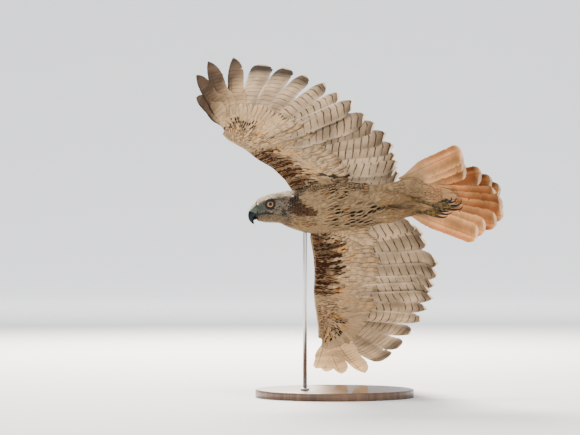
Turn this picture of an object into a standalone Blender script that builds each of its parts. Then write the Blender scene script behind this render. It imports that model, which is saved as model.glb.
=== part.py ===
# A red-tailed hawk in banking flight, life size, on a plain display stand.
# Metres, +Z up. The bird flies towards -X and shows its underside towards -Y.
# The origin is the middle of the underside of the stand's base.
# Places on the bird are given from TRUNK, a point in the middle of its chest.
import math

import bmesh
import bpy
from mathutils import Matrix, Vector

GAP = 0.0003
# Points closer than this are one point
WELD = 0.000002
TRUNK = Vector((0.030, -0.055, 0.385))

# The stand
BASE_RADIUS = 0.160
BASE_HEIGHT = 0.016
BASE_BEVEL = 0.003
BASE_SIDES = 48
ROD_RADIUS = 0.004
# The rod's place from the trunk, and how far it reaches into the breast
ROD_FROM_TRUNK = (-0.090, 0.002)
ROD_REACH = -0.030
ROD_SIDES = 16

# The flesh: along the body, height of the middle, half height, depth, half depth
BODY_SIDES = 20
HEAD_RINGS = (
    (-0.1850, -0.0104, 0.0196, -0.002, 0.0125),
    (-0.1790, -0.0085, 0.0225, -0.002, 0.0190),
    (-0.1680, -0.0066, 0.0266, -0.002, 0.0240),
    (-0.1540, -0.0040, 0.0294, -0.002, 0.0265),
    (-0.1400, -0.0034, 0.0310, -0.002, 0.0285),
    (-0.1240, -0.0058, 0.0362, -0.001, 0.0300),
)
NECK_RINGS = (
    (-0.1237, -0.0058, 0.0362, -0.001, 0.0300),
    (-0.1100, -0.0080, 0.0395, 0.001, 0.0340),
    (-0.0960, -0.0090, 0.0430, 0.002, 0.0385),
)
TORSO_RINGS = (
    (-0.0957, -0.0090, 0.0430, 0.002, 0.0385),
    (-0.0760, -0.0092, 0.0472, 0.002, 0.0450),
    (-0.0560, -0.0070, 0.0492, 0.000, 0.0495),
    (-0.0300, -0.0036, 0.0494, -0.003, 0.0520),
    (0.0000, -0.0016, 0.0486, -0.003, 0.0520),
    (0.0300, 0.0002, 0.0455, -0.001, 0.0475),
    (0.0600, 0.0040, 0.0400, 0.002, 0.0400),
    (0.0840, 0.0115, 0.0375, 0.005, 0.0310),
    (0.1000, 0.0165, 0.0370, 0.007, 0.0235),
)
RUMP_RINGS = (
    (0.1003, 0.0165, 0.0365, 0.007, 0.0230),
    (0.1180, 0.0205, 0.0410, 0.009, 0.0160),
    (0.1400, 0.0215, 0.0400, 0.011, 0.0100),
    (0.1650, 0.0200, 0.0290, 0.012, 0.0060),
    (0.1900, 0.0190, 0.0140, 0.012, 0.0030),
)
THIGH_SIDES = 14
THIGH_RINGS = {
    "left": (
        (0.0440, 0.0120, 0.0130, -0.030, 0.0110),
        (0.0600, 0.0150, 0.0160, -0.034, 0.0150),
        (0.0800, 0.0160, 0.0152, -0.034, 0.0150),
        (0.1000, 0.0150, 0.0120, -0.031, 0.0110),
        (0.1180, 0.0150, 0.0065, -0.029, 0.0060),
    ),
    "right": (
        (0.0440, -0.0170, 0.0140, -0.020, 0.0130),
        (0.0620, -0.0185, 0.0170, -0.024, 0.0170),
        (0.0840, -0.0175, 0.0165, -0.024, 0.0160),
        (0.1060, -0.0135, 0.0125, -0.022, 0.0110),
        (0.1240, -0.0120, 0.0065, -0.021, 0.0060),
    ),
}

# The bill: the upper half hooks down in front of the lower one
UPPER_BILL = (
    (-0.1853, -0.0062, 0.0148, 0.0115, 180),
    (-0.1905, -0.0088, 0.0128, 0.0100, 191),
    (-0.1952, -0.0148, 0.0098, 0.0080, 214),
    (-0.1975, -0.0215, 0.0072, 0.0058, 245),
    (-0.1968, -0.0285, 0.0045, 0.0036, 277),
    (-0.1935, -0.0345, 0.0018, 0.0016, 298),
    (-0.1922, -0.0366, 0.0004, 0.0004, 302),
)
LOWER_BILL = (
    (-0.1853, -0.0226, 0.0034, 0.0095, 180),
    (-0.1885, -0.0246, 0.0032, 0.0080, 186),
    (-0.1918, -0.0262, 0.0022, 0.0050, 190),
    (-0.1934, -0.0270, 0.0008, 0.0020, 190),
)
BILL_SIDES = 14
BILL_DEPTH = -0.002
NOSTRIL_AT = (-0.1893, -0.0035)
NOSTRIL_RADIUS = 0.0016
NOSTRIL_OUT = 0.0100
NOSTRIL_RINGS = 4
MOUTH_LINE = ((-0.1862, -0.0200), (-0.1760, -0.0152), (-0.1660, -0.0138), (-0.1560, -0.0142))
MOUTH_WIDTH = 0.0008
MOUTH_DEPTH = 0.0030
MOUTH_CUTTER = 0.0080
EYE_AT = (-0.1592, 0.0034)
EYE_RADIUS = 0.0090
EYE_SINK = 0.0066
BALL_RINGS = 8
LID_RADIUS = 0.0080
LID_TUBE = 0.0015
LID_STAND = 0.0064
LID_SEGMENTS = (20, 6)
BROW = ((-0.1745, 0.0075), (-0.1640, 0.0148), (-0.1490, 0.0135))
BROW_RADII = (0.0016, 0.0036, 0.0016)
BROW_SINK = 0.0024

# Where the arm's directions turn into the hand's, counted in stations
WRIST = 5
HAND_BLEND = (3.5, 6.0)
# One wing: front edge (x, y, z), angle of the chord above the level, its turn
# towards the wing's tip, length of the fleshy chord, and thickness
LEFT_STATIONS = (
    ((-0.094, 0.010, 0.006), 0, 0, 0.105, 0.034),
    ((-0.116, 0.032, 0.031), 2, 0, 0.100, 0.026),
    ((-0.130, 0.050, 0.053), 4, 0, 0.090, 0.022),
    ((-0.158, 0.072, 0.080), 6, 0, 0.078, 0.018),
    ((-0.189, 0.092, 0.097), 14, 0, 0.064, 0.016),
    ((-0.211, 0.106, 0.116), 22, 0, 0.052, 0.015),
    ((-0.228, 0.132, 0.125), 25, 12, 0.044, 0.013),
    ((-0.247, 0.163, 0.136), 25, 24, 0.034, 0.010),
    ((-0.268, 0.205, 0.157), 25, 45, 0.018, 0.006),
)
RIGHT_STATIONS = (
    ((-0.064, 0.012, -0.030), 14, 0, 0.105, 0.034),
    ((-0.081, 0.035, -0.058), 13, 0, 0.102, 0.026),
    ((-0.073, 0.072, -0.101), 11, 0, 0.092, 0.022),
    ((-0.070, 0.100, -0.138), 2, 0, 0.080, 0.018),
    ((-0.072, 0.127, -0.175), 2, 0, 0.066, 0.016),
    ((-0.070, 0.145, -0.200), 3, 0, 0.054, 0.015),
    ((-0.066, 0.168, -0.223), 3, 6, 0.046, 0.013),
    ((-0.062, 0.197, -0.251), 3, 12, 0.034, 0.010),
    ((-0.062, 0.238, -0.288), 3, 30, 0.018, 0.006),
)
# Inner feathers from the wrist to the body: place along the wing, turn, length
LEFT_SECONDARIES = (
    (4.65, 0, 0.216), (4.25, 0, 0.220), (3.80, 0, 0.224), (3.35, 0, 0.218), (2.95, 0, 0.206),
    (2.60, 0, 0.196), (2.30, 0, 0.184), (1.95, 0, 0.176), (1.60, 0, 0.160), (1.25, 0, 0.140),
)
RIGHT_SECONDARIES = (
    (4.55, 0, 0.204), (3.95, 0, 0.208), (3.35, 0, 0.208), (2.75, 3, 0.203), (2.30, 0, 0.180),
    (2.00, 0, 0.172), (1.70, 0, 0.158), (1.45, 0, 0.143), (1.15, 0, 0.130),
)
WINGS = {
    "left": {
        "stations": LEFT_STATIONS, "secondaries": LEFT_SECONDARIES, "turn": 1, "forward": 1.6,
        "hand": Vector((-0.193, 0.765, 0.614)),
        "bends": (0.02, 0.05, 0.085, 0.115, 0.14, 0.15, 0.115, 0.105, 0.15, 0.25),
    },
    "right": {
        "stations": RIGHT_STATIONS, "secondaries": RIGHT_SECONDARIES, "turn": -1,
        "forward": -1.6, "hand": Vector((0.027, 0.853, -0.521)),
        "bends": (0.03, 0.06, 0.09, 0.115, 0.13, 0.14, 0.145, 0.20, 0.23, 0.22),
    },
}
AIRFOIL = (
    (0.00, 0.00), (0.06, 0.36), (0.22, 0.50), (0.50, 0.40), (0.80, 0.20), (1.00, 0.07),
    (1.00, -0.07), (0.80, -0.20), (0.50, -0.40), (0.22, -0.50), (0.06, -0.36),
)
# Primary: place along the wing, turn from the chord, length
PRIMARIES = (
    (1, 5.15, 3, 0.213), (2, 5.45, 13, 0.205), (3, 5.75, 26, 0.209), (4, 6.05, 42, 0.220),
    (5, 6.35, 55.5, 0.243), (6, 6.65, 67, 0.265), (7, 6.90, 79, 0.297), (8, 7.10, 88.5, 0.306),
    (9, 7.30, 94.5, 0.284), (10, 7.50, 99.5, 0.223),
)
# The feathers next to the hand bend back a little with it
SECONDARY_BENDS = (0.02, 0.01)
ROOT_SHARE = 0.60
FINGER_FROM = 7
# The fingers stand apart past this share of their length
FINGER_SPLIT = 0.45
QUILL = 0.003
FINGER_SHAPE = (
    (0.00, QUILL, QUILL), (0.15, 0.007, 0.015), (0.40, 0.011, 0.031), (0.56, 0.010, 0.021),
    (0.84, 0.009, 0.019), (0.95, 0.006, 0.011), (1.00, 0.001, 0.002),
)
HAND_SHAPE = (
    (0.00, QUILL, QUILL), (0.18, 0.008, 0.018), (0.50, 0.014, 0.036), (0.85, 0.015, 0.032),
    (0.95, 0.011, 0.021), (1.00, 0.003, 0.006),
)
ARM_SHAPE = (
    (0.00, QUILL, QUILL), (0.20, 0.009, 0.018), (0.50, 0.013, 0.032), (0.86, 0.014, 0.032),
    (0.95, 0.010, 0.021), (1.00, 0.003, 0.006),
)
COVERT_SHAPE = (
    (0.00, QUILL, QUILL), (0.35, 0.009, 0.020), (0.88, 0.009, 0.019), (1.00, 0.002, 0.004),
)
TAIL_SHAPE = (
    (0.00, QUILL, QUILL), (0.25, 0.009, 0.016), (0.60, 0.014, 0.024), (0.88, 0.016, 0.026),
    (0.96, 0.012, 0.019), (1.00, 0.005, 0.007),
)
VANE_ROOT_THICKNESS = 0.0011
VANE_TIP_THICKNESS = 0.0006
# How far a feather's edge stands off its neighbour, and the steepest tilt for it
SHINGLE_STEP = 0.0016
STEEPEST_SHINGLE = 0.25
# How far the tips sweep back, and the short step that gives a shaft's direction
FINGER_SWEEP = 0.045
SWEEP = 0.015
SHAFT_STEP = 0.05
# Covert tiers: face (1 under, -1 back), height off the flight feathers at root and
# tip, share of a feather's length on the arm and on the hand, every how many
# feathers, and how far back on the fleshy chord they are rooted
WING_TIERS = (
    (1, 0.0050, 0.0056, 0.50, 0.42, 1, 0.52),
    (1, 0.0080, 0.0096, 0.30, 0.24, 2, 0.38),
    (-1, 0.0050, 0.0056, 0.50, 0.42, 2, 0.52),
)
# How far a covert's root may stand off the middle, as a share of the flesh
COVERT_SINK = 0.36
# The thumb's feathers: place, turn from the hand's front edge, length
ALULA = ((5.45, 3, 0.052), (5.30, 6, 0.064), (5.15, 9, 0.076))
ALULA_RISE = 0.0075
ALULA_SHARE = 0.34
# The outermost feathers carry no coverts of their own
BARE_FINGERS = -3

# The tail: a fan about a point in the rump
FAN_CENTRE = Vector((0.025, 0.014, 0.0214))
FAN_START = 0.080
FAN_SPREAD = (25.0, 21.0, 16.0, 11.0, 6.5, 2.5, -1.5, -5.0, -8.5, -12.5, -16.5, -20.5)
FAN_REACH = (0.218, 0.216, 0.215, 0.243, 0.262, 0.278, 0.272, 0.284, 0.287, 0.277, 0.258, 0.248)
BODY_ROLL = 12
# The angle of the bird's own axis in the fan, where its two halves meet
TAIL_AXIS = 2.0
# Tail covert tiers: height off the flight feathers at root and tip, length, count
TAIL_TIERS = ((0.0075, 0.0045, 0.085, 7), )

# The legs are folded back under the tail
TARSUS = {
    "left": (
        (0.1100, -0.0280, 0.0155), (0.1183, -0.0295, 0.0145), (0.1450, -0.0370, 0.0080),
        (0.1630, -0.0420, 0.0020), (0.1700, -0.0440, 0.0000),
    ),
    "right": (
        (0.1160, -0.0200, -0.0120), (0.1243, -0.0215, -0.0120), (0.1380, -0.0250, -0.0130),
        (0.1490, -0.0290, -0.0130), (0.1545, -0.0310, -0.0125),
    ),
}
TARSUS_RADII = (0.0048, 0.0043, 0.0037, 0.0042, 0.0042)
# Each toe: its joints after the palm; the last one carries the claw, whose
# own points follow
PALM_RADIUS = 0.0062
PALM_RINGS = 6
TOE_RADII = (0.0046, 0.0038, 0.0030)
CLAW_RADII = (0.0026, 0.0027, 0.0022, 0.0015, 0.0005)
# A claw leaves its toe straight on before it hooks
CLAW_COLLAR = 0.0025
FEET = {
    "left": {
        "palm": (0.1700, -0.0440, 0.0000),
        "toes": (
            ((0.1860, -0.0470, 0.0040), (0.1930, -0.0440, 0.0075)),
            ((0.1880, -0.0480, -0.0010), (0.1985, -0.0450, -0.0010)),
            ((0.1850, -0.0460, -0.0060), (0.1950, -0.0430, -0.0070)),
            ((0.1790, -0.0390, 0.0075), (0.1880, -0.0370, 0.0110)),
        ),
        "claws": (
            ((0.2010, -0.0440, 0.0070), (0.2080, -0.0450, 0.0100), (0.2100, -0.0460, 0.0170)),
            ((0.2100, -0.0440, 0.0000), (0.2185, -0.0450, 0.0050), (0.2200, -0.0460, 0.0130)),
            ((0.2080, -0.0420, -0.0080), (0.2190, -0.0430, -0.0060), (0.2240, -0.0440, 0.0010)),
            ((0.1960, -0.0370, 0.0095), (0.2010, -0.0380, 0.0130), (0.2000, -0.0390, 0.0180)),
        ),
    },
    "right": {
        "palm": (0.1545, -0.0310, -0.0125),
        "toes": (
            ((0.1680, -0.0320, -0.0100), (0.1750, -0.0300, -0.0095)),
            ((0.1690, -0.0330, -0.0140), (0.1790, -0.0310, -0.0150)),
            ((0.1640, -0.0320, -0.0180), (0.1720, -0.0300, -0.0205)),
            ((0.1620, -0.0260, -0.0090), (0.1680, -0.0230, -0.0080)),
        ),
        "claws": (
            ((0.1830, -0.0290, -0.0105), (0.1920, -0.0295, -0.0115), (0.1980, -0.0300, -0.0090)),
            ((0.1880, -0.0300, -0.0165), (0.1970, -0.0305, -0.0160), (0.2030, -0.0310, -0.0120)),
            ((0.1800, -0.0290, -0.0225), (0.1880, -0.0295, -0.0225), (0.1940, -0.0300, -0.0190)),
            ((0.1750, -0.0220, -0.0090), (0.1820, -0.0225, -0.0080), (0.1860, -0.0230, -0.0040)),
        ),
    },
}



def unit(vector):
    return Vector(vector).normalized()


def lerp(a, b, share):
    return a + (b - a) * share


def between(rows, place):
    # Rows of numbers read at a place between them
    low = min(int(place), len(rows) - 2)
    share = place - low
    return [lerp(Vector(a) if isinstance(a, tuple) else a,
                 Vector(b) if isinstance(b, tuple) else b, share)
            for a, b in zip(rows[low], rows[low + 1])]


def finish(name, vertices, faces, group):
    mesh = bpy.data.meshes.new(name)
    mesh.from_pydata([tuple(v) for v in vertices], [], faces)
    shape = bmesh.new()
    shape.from_mesh(mesh)
    bmesh.ops.triangulate(shape, faces=[f for f in shape.faces if len(f.verts) > 4])
    bmesh.ops.recalc_face_normals(shape, faces=shape.faces)
    if shape.calc_volume(signed=True) < 0:
        bmesh.ops.reverse_faces(shape, faces=shape.faces)
    shape.to_mesh(mesh)
    shape.free()
    made = bpy.data.objects.new(name, mesh)
    group.objects.link(made)
    return made


def loft(name, rings, group, split=False):
    # A closed skin over rings of points, with both ends capped
    count = len(rings[0])
    vertices = [point for ring in rings for point in ring]
    faces = [tuple(range(count)), tuple(range(len(vertices) - count, len(vertices)))]
    for row in range(len(rings) - 1):
        for i in range(count):
            j = (i + 1) % count
            quad = (row * count + i, row * count + j, (row + 1) * count + j, (row + 1) * count + i)
            if split:
                turned = i * 2 < count
                first = (quad[0], quad[1], quad[2]) if turned else (quad[0], quad[1], quad[3])
                second = (quad[0], quad[2], quad[3]) if turned else (quad[1], quad[2], quad[3])
                faces += [first, second]
            else:
                faces.append(quad)
    return finish(name, vertices, faces, group)


def oval(centre, side, up, half_side, half_up, count, power=2.2):
    points = []
    for i in range(count):
        angle = 2 * math.pi * i / count
        across = math.copysign(abs(math.cos(angle)) ** (2 / power), math.cos(angle))
        along = math.copysign(abs(math.sin(angle)) ** (2 / power), math.sin(angle))
        points.append(centre + side * (across * half_side) + up * (along * half_up))
    return points


def flesh_rings(rows, grow=0.0, count=BODY_SIDES):
    rings = []
    for x, z, half_height, y, half_depth in rows:
        centre = TRUNK + Vector((x, y, z))
        rings.append(oval(centre, Vector((0, 1, 0)), Vector((0, 0, 1)),
                          half_depth + grow, half_height + grow, count))
    return rings


# Wings

def chord_frame(wing, place):
    # Chord, span and underside directions at a place along the wing
    front, rise, _, _, _ = between(wing["stations"], place)
    chord = Vector((math.cos(math.radians(rise)), 0, math.sin(math.radians(rise))))
    stations = wing["stations"]
    arm = unit(Vector(stations[WRIST][0]) - Vector(stations[1][0]))
    share = min(max((place - HAND_BLEND[0]) / (HAND_BLEND[1] - HAND_BLEND[0]), 0), 1)
    span = unit(lerp(arm, unit(wing["hand"]), share))
    span = unit(span - chord * span.dot(chord))
    under = chord.cross(span) * wing["turn"]
    return front, chord, span, under


def turned(chord, span, degrees):
    angle = math.radians(degrees)
    return unit(chord * math.cos(angle) + span * math.sin(angle))


def arm_ring(wing, place):
    _, _, turn, length, thickness = between(wing["stations"], place)
    front, chord, span, under = chord_frame(wing, place)
    back = turned(chord, span, turn)
    start = TRUNK + front
    return [start + back * (length * u) - under * (thickness * v) for u, v in AIRFOIL]


def feather_root(wing, place, share=ROOT_SHARE):
    _, _, turn, length, thickness = between(wing["stations"], place)
    front, chord, span, under = chord_frame(wing, place)
    return TRUNK + front + turned(chord, span, turn) * (length * share), thickness


def flight_feathers(wing):
    # From the body outwards: root, direction, underside, length, shape, sweep, bend
    feathers = []
    for i, (place, turn, length) in enumerate(wing["secondaries"]):
        root, _ = feather_root(wing, place)
        _, chord, span, under = chord_frame(wing, place)
        bend = SECONDARY_BENDS[i] if i < len(SECONDARY_BENDS) else 0
        along = turned(chord, span, turn)
        feathers.insert(0, (root, along, under, length, ARM_SHAPE, SWEEP, bend))
    for number, place, turn, length in PRIMARIES:
        root, _ = feather_root(wing, place)
        _, chord, span, under = chord_frame(wing, place)
        finger = number >= FINGER_FROM
        shape = FINGER_SHAPE if finger else HAND_SHAPE
        sweep = FINGER_SWEEP if finger else SWEEP
        bend = wing["bends"][number - 1]
        forward = wing["forward"] if number > len(PRIMARIES) / 2 else wing["forward"] / 2
        along = turned(chord, span, turn + forward)
        feathers.append((root, along, under, length, shape, sweep, bend))
    return feathers


def covert_feathers(wing, tier):
    # One tier of coverts, on the underside or on the back
    side, rise_root, rise_tip, arm_share, hand_share, step, share = tier
    places = [row[0] for row in wing["secondaries"][::-1]] + [row[1] for row in PRIMARIES]
    feathers = []
    for flight, place in list(zip(flight_feathers(wing), places))[:BARE_FINGERS:step]:
        _, along, under, length, _, _, bend = flight
        root, thickness = feather_root(wing, place, share)
        cover = arm_share if place < WRIST else hand_share
        reach = length * cover
        sink = min(rise_root, thickness * COVERT_SINK)
        start = root + under * (side * sink)
        aim = unit(along * reach + under * (side * (rise_tip - sink)))
        feathers.append((start, aim, under, reach, COVERT_SHAPE, SWEEP * cover, bend * cover))
    return feathers


def spine(feather, t, turn):
    # A point along the shaft, at a share of its length
    root, along, under, length, _, sweep, bend = feather
    outward = under.cross(along) * turn
    return root + along * (length * t) - (outward * sweep + under * bend) * (length * t * t)


def vane(name, feathers, i, turn, group):
    # One feather of a row: its outer edge lies above its neighbour's inner edge,
    # and it turns with the surface that the row makes
    _, along, under, _, shape, _, _ = feathers[i]
    before = feathers[max(i - 1, 0)]
    after = feathers[min(i + 1, len(feathers) - 1)]
    steps = 2 if before is not feathers[i] and after is not feathers[i] else 1
    rings = []
    for t, outer, inner in shape:
        middle = spine(feathers[i], t, turn)
        ahead = unit(spine(feathers[i], t + SHAFT_STEP, turn) - middle)
        near = min(t, FINGER_SPLIT) if shape is FINGER_SHAPE else t
        across = spine(after, near, turn) - spine(before, near, turn)
        across -= ahead * across.dot(ahead)
        slope = SHINGLE_STEP * steps / max(across.length, SHINGLE_STEP)
        tilt = math.asin(min(slope, STEEPEST_SHINGLE))
        outward = unit(across)
        down = outward.cross(ahead)
        if down.dot(under) < 0:
            down = -down
        edge = outward * math.cos(tilt) - down * math.sin(tilt)
        face = down * math.cos(tilt) + outward * math.sin(tilt)
        half = face * (lerp(VANE_ROOT_THICKNESS, VANE_TIP_THICKNESS, t) / 2)
        rings.append([middle + edge * outer - half, middle - edge * inner - half,
                      middle - edge * inner + half, middle + edge * outer + half])
    return loft(name, rings, group, split=True)


def shingle(name, feathers, turn, group):
    return [vane(f"{name}_{i}", feathers, i, turn, group) for i in range(len(feathers))]


def make_wing(side, group, flesh):
    wing = WINGS[side]
    turn = wing["turn"]
    name = f"wing_{side}"
    rings = [arm_ring(wing, i) for i in range(len(wing["stations"]))]
    pieces = [loft(name, rings, group)]
    pieces += shingle(f"{name}_flight", flight_feathers(wing), turn, group)
    for tier in WING_TIERS:
        pieces += shingle(f"{name}_covert", covert_feathers(wing, tier), turn, group)
    alula = []
    for place, degrees, length in ALULA:
        root, _ = feather_root(wing, place, ALULA_SHARE)
        front, _, _, under = chord_frame(wing, place)
        edge = unit(chord_frame(wing, place + 1)[0] - front)
        inward = edge.cross(under) * turn
        along = turned(edge, inward, degrees)
        alula.append((root - under * ALULA_RISE, along, under, length, COVERT_SHAPE, SWEEP, 0))
    pieces += shingle(f"{name}_alula", alula[::-1], turn, group)
    made = unite(name, pieces)
    carve(made, flesh)
    keep_largest(made)
    return made


# Tail

def tail_axes():
    roll = math.radians(BODY_ROLL)
    under = Vector((0, -math.cos(roll), -math.sin(roll)))
    upward = Vector((0, -math.sin(roll), math.cos(roll)))
    return Vector((1, 0, 0)), upward, under


def tail_vanes(name, turns, reaches, start, rise_root, rise_tip, shape, group):
    back, upward, under = tail_axes()
    feathers = []
    for degrees, reach in zip(turns, reaches):
        angle = math.radians(degrees)
        along = back * math.cos(angle) + upward * math.sin(angle)
        root = TRUNK + FAN_CENTRE + along * start + under * rise_root
        length = reach - start
        aim = unit(along * length + under * (rise_tip - rise_root))
        feathers.append((root, aim, under, length, shape, 0, 0))
    middle = min(range(len(turns)), key=lambda i: abs(turns[i] - TAIL_AXIS))
    upper = shingle(name + "_upper", feathers[:middle + 1][::-1], 1, group)
    lower = shingle(name + "_lower", feathers[middle + 1:], -1, group)
    return upper + lower


def make_tail(group, flesh):
    pieces = [loft("tail", flesh_rings(RUMP_RINGS), group)]
    pieces += tail_vanes("tail_flight", FAN_SPREAD, FAN_REACH, FAN_START, 0, 0, TAIL_SHAPE, group)
    for rise_root, rise_tip, reach, count in TAIL_TIERS:
        turns = [lerp(FAN_SPREAD[0], FAN_SPREAD[-1], (i + 0.5) / count) for i in range(count)]
        for face in (1, -1):
            pieces += tail_vanes("tail_covert", turns, [FAN_START + reach] * count, FAN_START,
                                 rise_root * face, rise_tip * face, COVERT_SHAPE, group)
    made = unite("tail", pieces)
    carve(made, flesh)
    keep_largest(made)
    return made


# Head

def bill_rings(rows):
    rings = []
    for x, z, half_height, half_width, degrees in rows:
        angle = math.radians(degrees)
        along = Vector((math.cos(angle), 0, math.sin(angle)))
        up = Vector((along.z, 0, -along.x))
        centre = TRUNK + Vector((x, BILL_DEPTH, z))
        rings.append(oval(centre, Vector((0, 1, 0)), up, half_width, half_height, BILL_SIDES))
    return rings


def head_half_width(x):
    rows = sorted(HEAD_RINGS)
    for low, high in zip(rows, rows[1:]):
        if x <= high[0]:
            share = (x - low[0]) / (high[0] - low[0])
            return lerp(low[4], high[4], max(share, 0))
    return rows[-1][4]


def ball(name, centre, radius, group, rings=BALL_RINGS):
    shape = bmesh.new()
    bmesh.ops.create_uvsphere(shape, u_segments=rings * 2, v_segments=rings, radius=radius)
    bmesh.ops.rotate(shape, verts=shape.verts, matrix=Matrix.Rotation(math.pi / 2, 3, "X"))
    bmesh.ops.translate(shape, verts=shape.verts, vec=centre)
    mesh = bpy.data.meshes.new(name)
    shape.to_mesh(mesh)
    shape.free()
    made = bpy.data.objects.new(name, mesh)
    group.objects.link(made)
    return made


def tube(name, points, radii, group, sides=8, power=2.0):
    # A tapered tube through points, closed at both ends
    points = [Vector(p) for p in points]
    side = None
    rings = []
    for i, point in enumerate(points):
        ahead = points[min(i + 1, len(points) - 1)] - points[max(i - 1, 0)]
        ahead = unit(ahead)
        if side is None:
            side = ahead.orthogonal()
        side = unit(side - ahead * side.dot(ahead))
        rings.append(oval(point, side, ahead.cross(side), radii[i], radii[i], sides, power))
    return loft(name, rings, group)


def eye_centre(face):
    x, z = EYE_AT
    y = HEAD_RINGS[0][3] + face * (head_half_width(x) - EYE_SINK)
    return TRUNK + Vector((x, y, z))


def make_head(group, cutters):
    pieces = [loft("head", flesh_rings(HEAD_RINGS), group)]
    for face in (-1, 1):
        centre = eye_centre(face)
        lid = centre + Vector((0, face * LID_STAND, 0))
        pieces.append(ring("lid", lid, LID_RADIUS, LID_TUBE, group))
        brow = []
        for x, z in BROW:
            y = HEAD_RINGS[0][3] + face * (head_half_width(x) - BROW_SINK)
            brow.append(TRUNK + Vector((x, y, z)))
        pieces.append(tube("brow", brow, BROW_RADII, group))
    made = unite("head", pieces)
    for face in (-1, 1):
        carve(made, ball("socket", eye_centre(face), EYE_RADIUS + GAP, cutters))
        groove = []
        for x, z in MOUTH_LINE:
            y = HEAD_RINGS[0][3] + face * (head_half_width(x) - MOUTH_DEPTH)
            inner = TRUNK + Vector((x, y, z))
            outer = inner + Vector((0, face * MOUTH_CUTTER, 0))
            lift = Vector((0, 0, MOUTH_WIDTH / 2))
            groove.append([inner - lift, outer - lift, outer + lift, inner + lift])
        carve(made, loft("mouth", groove, cutters))
    keep_largest(made)
    return made


def ring(name, centre, radius, thickness, group):
    # A ring that faces the side
    around, across = LID_SEGMENTS
    bpy.ops.mesh.primitive_torus_add(major_radius=radius, minor_radius=thickness,
                                     major_segments=around, minor_segments=across,
                                     location=centre, rotation=(math.pi / 2, 0, 0))
    made = bpy.context.object
    made.name = name
    for owner in list(made.users_collection):
        owner.objects.unlink(made)
    group.objects.link(made)
    return made


def make_bill(group, cutters):
    upper = loft("bill_upper", bill_rings(UPPER_BILL), group)
    lower = loft("bill_lower", bill_rings(LOWER_BILL), group)
    x, z = NOSTRIL_AT
    for face in (-1, 1):
        at = TRUNK + Vector((x, BILL_DEPTH + face * NOSTRIL_OUT, z))
        carve(upper, ball("nostril", at, NOSTRIL_RADIUS, cutters, rings=NOSTRIL_RINGS))
    grown = loft("upper_bill_room", bill_rings([(x, z, h + GAP, w + GAP, a)
                                                for x, z, h, w, a in UPPER_BILL]), cutters)
    carve(lower, grown)
    keep_largest(lower)
    keep_largest(upper)
    return [upper, lower]


# Legs

def make_leg(side, group, cutters, flesh):
    thigh = loft(f"thigh_{side}", flesh_rings(THIGH_RINGS[side], count=THIGH_SIDES), group)
    carve(thigh, flesh)
    keep_largest(thigh)
    foot_data = FEET[side]
    palm = TRUNK + Vector(foot_data["palm"])
    *rows, (x, z, half_height, y, half_depth) = THIGH_RINGS[side]
    rows.append((x + GAP, z, half_height, y, half_depth))
    thigh_room = loft("thigh_room", flesh_rings(rows, GAP, THIGH_SIDES), cutters)
    palm_room = ball("palm_room", palm, PALM_RADIUS + GAP, cutters, rings=PALM_RINGS)
    shin = tube(f"tarsus_{side}", [TRUNK + Vector(p) for p in TARSUS[side]], TARSUS_RADII, group)
    carve(shin, thigh_room)
    carve(shin, palm_room)
    keep_largest(shin)
    made = [thigh, shin]
    pieces = [ball(f"foot_{side}", palm, PALM_RADIUS, group, rings=PALM_RINGS)]
    for joints in foot_data["toes"]:
        points = [palm] + [TRUNK + Vector(p) for p in joints]
        pieces.append(tube("toe", points, TOE_RADII, group))
    foot = unite(f"foot_{side}", pieces)
    keep_largest(foot)
    made.append(foot)
    for number, (joints, hook) in enumerate(zip(foot_data["toes"], foot_data["claws"]), 1):
        end = TRUNK + Vector(joints[-1])
        ahead = unit(Vector(joints[-1]) - Vector(joints[-2]))
        points = [end + ahead * GAP, end + ahead * CLAW_COLLAR]
        points += [TRUNK + Vector(p) for p in hook]
        made.append(tube(f"claw_{side}_{number}", points, CLAW_RADII, group))
    return made


# Joining and cutting

def replace_mesh(made):
    graph = bpy.context.evaluated_depsgraph_get()
    graph.update()
    mesh = bpy.data.meshes.new_from_object(made.evaluated_get(graph))
    made.modifiers.clear()
    old = made.data
    made.data = mesh
    bpy.data.meshes.remove(old)


def unite(name, pieces):
    base, rest = pieces[0], pieces[1:]
    others = bpy.data.collections.new(name + "_pieces")
    bpy.context.scene.collection.children.link(others)
    for piece in rest:
        for owner in list(piece.users_collection):
            owner.objects.unlink(piece)
        others.objects.link(piece)
    join = base.modifiers.new("join", "BOOLEAN")
    join.operation = "UNION"
    join.operand_type = "COLLECTION"
    join.collection = others
    join.solver = "MANIFOLD"
    replace_mesh(base)
    for piece in rest:
        bpy.data.objects.remove(piece)
    bpy.data.collections.remove(others)
    base.name = name
    return base


def carve(made, cutter):
    cutter.hide_render = True
    cutter.display_type = "WIRE"
    cut = made.modifiers.new("cut", "BOOLEAN")
    cut.operation = "DIFFERENCE"
    cut.object = cutter
    cut.solver = "MANIFOLD"
    replace_mesh(made)


def keep_largest(made):
    shape = bmesh.new()
    shape.from_mesh(made.data)
    left = set(shape.faces)
    best, best_size = None, 0
    while left:
        stack = [left.pop()]
        island = list(stack)
        while stack:
            for edge in stack.pop().edges:
                for face in edge.link_faces:
                    if face in left:
                        left.remove(face)
                        stack.append(face)
                        island.append(face)
        size = sum(face.calc_area() for face in island)
        if size > best_size:
            best, best_size = set(island), size
    drop = [face for face in shape.faces if face not in best]
    if drop:
        bmesh.ops.delete(shape, geom=drop, context="FACES")
        loose = [v for v in shape.verts if not v.link_faces]
        bmesh.ops.delete(shape, geom=loose, context="VERTS")
    bmesh.ops.remove_doubles(shape, verts=shape.verts, dist=WELD)
    bmesh.ops.dissolve_degenerate(shape, edges=shape.edges, dist=WELD)
    bmesh.ops.triangulate(shape, faces=shape.faces)
    shape.to_mesh(made.data)
    shape.free()


# Stand

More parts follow.
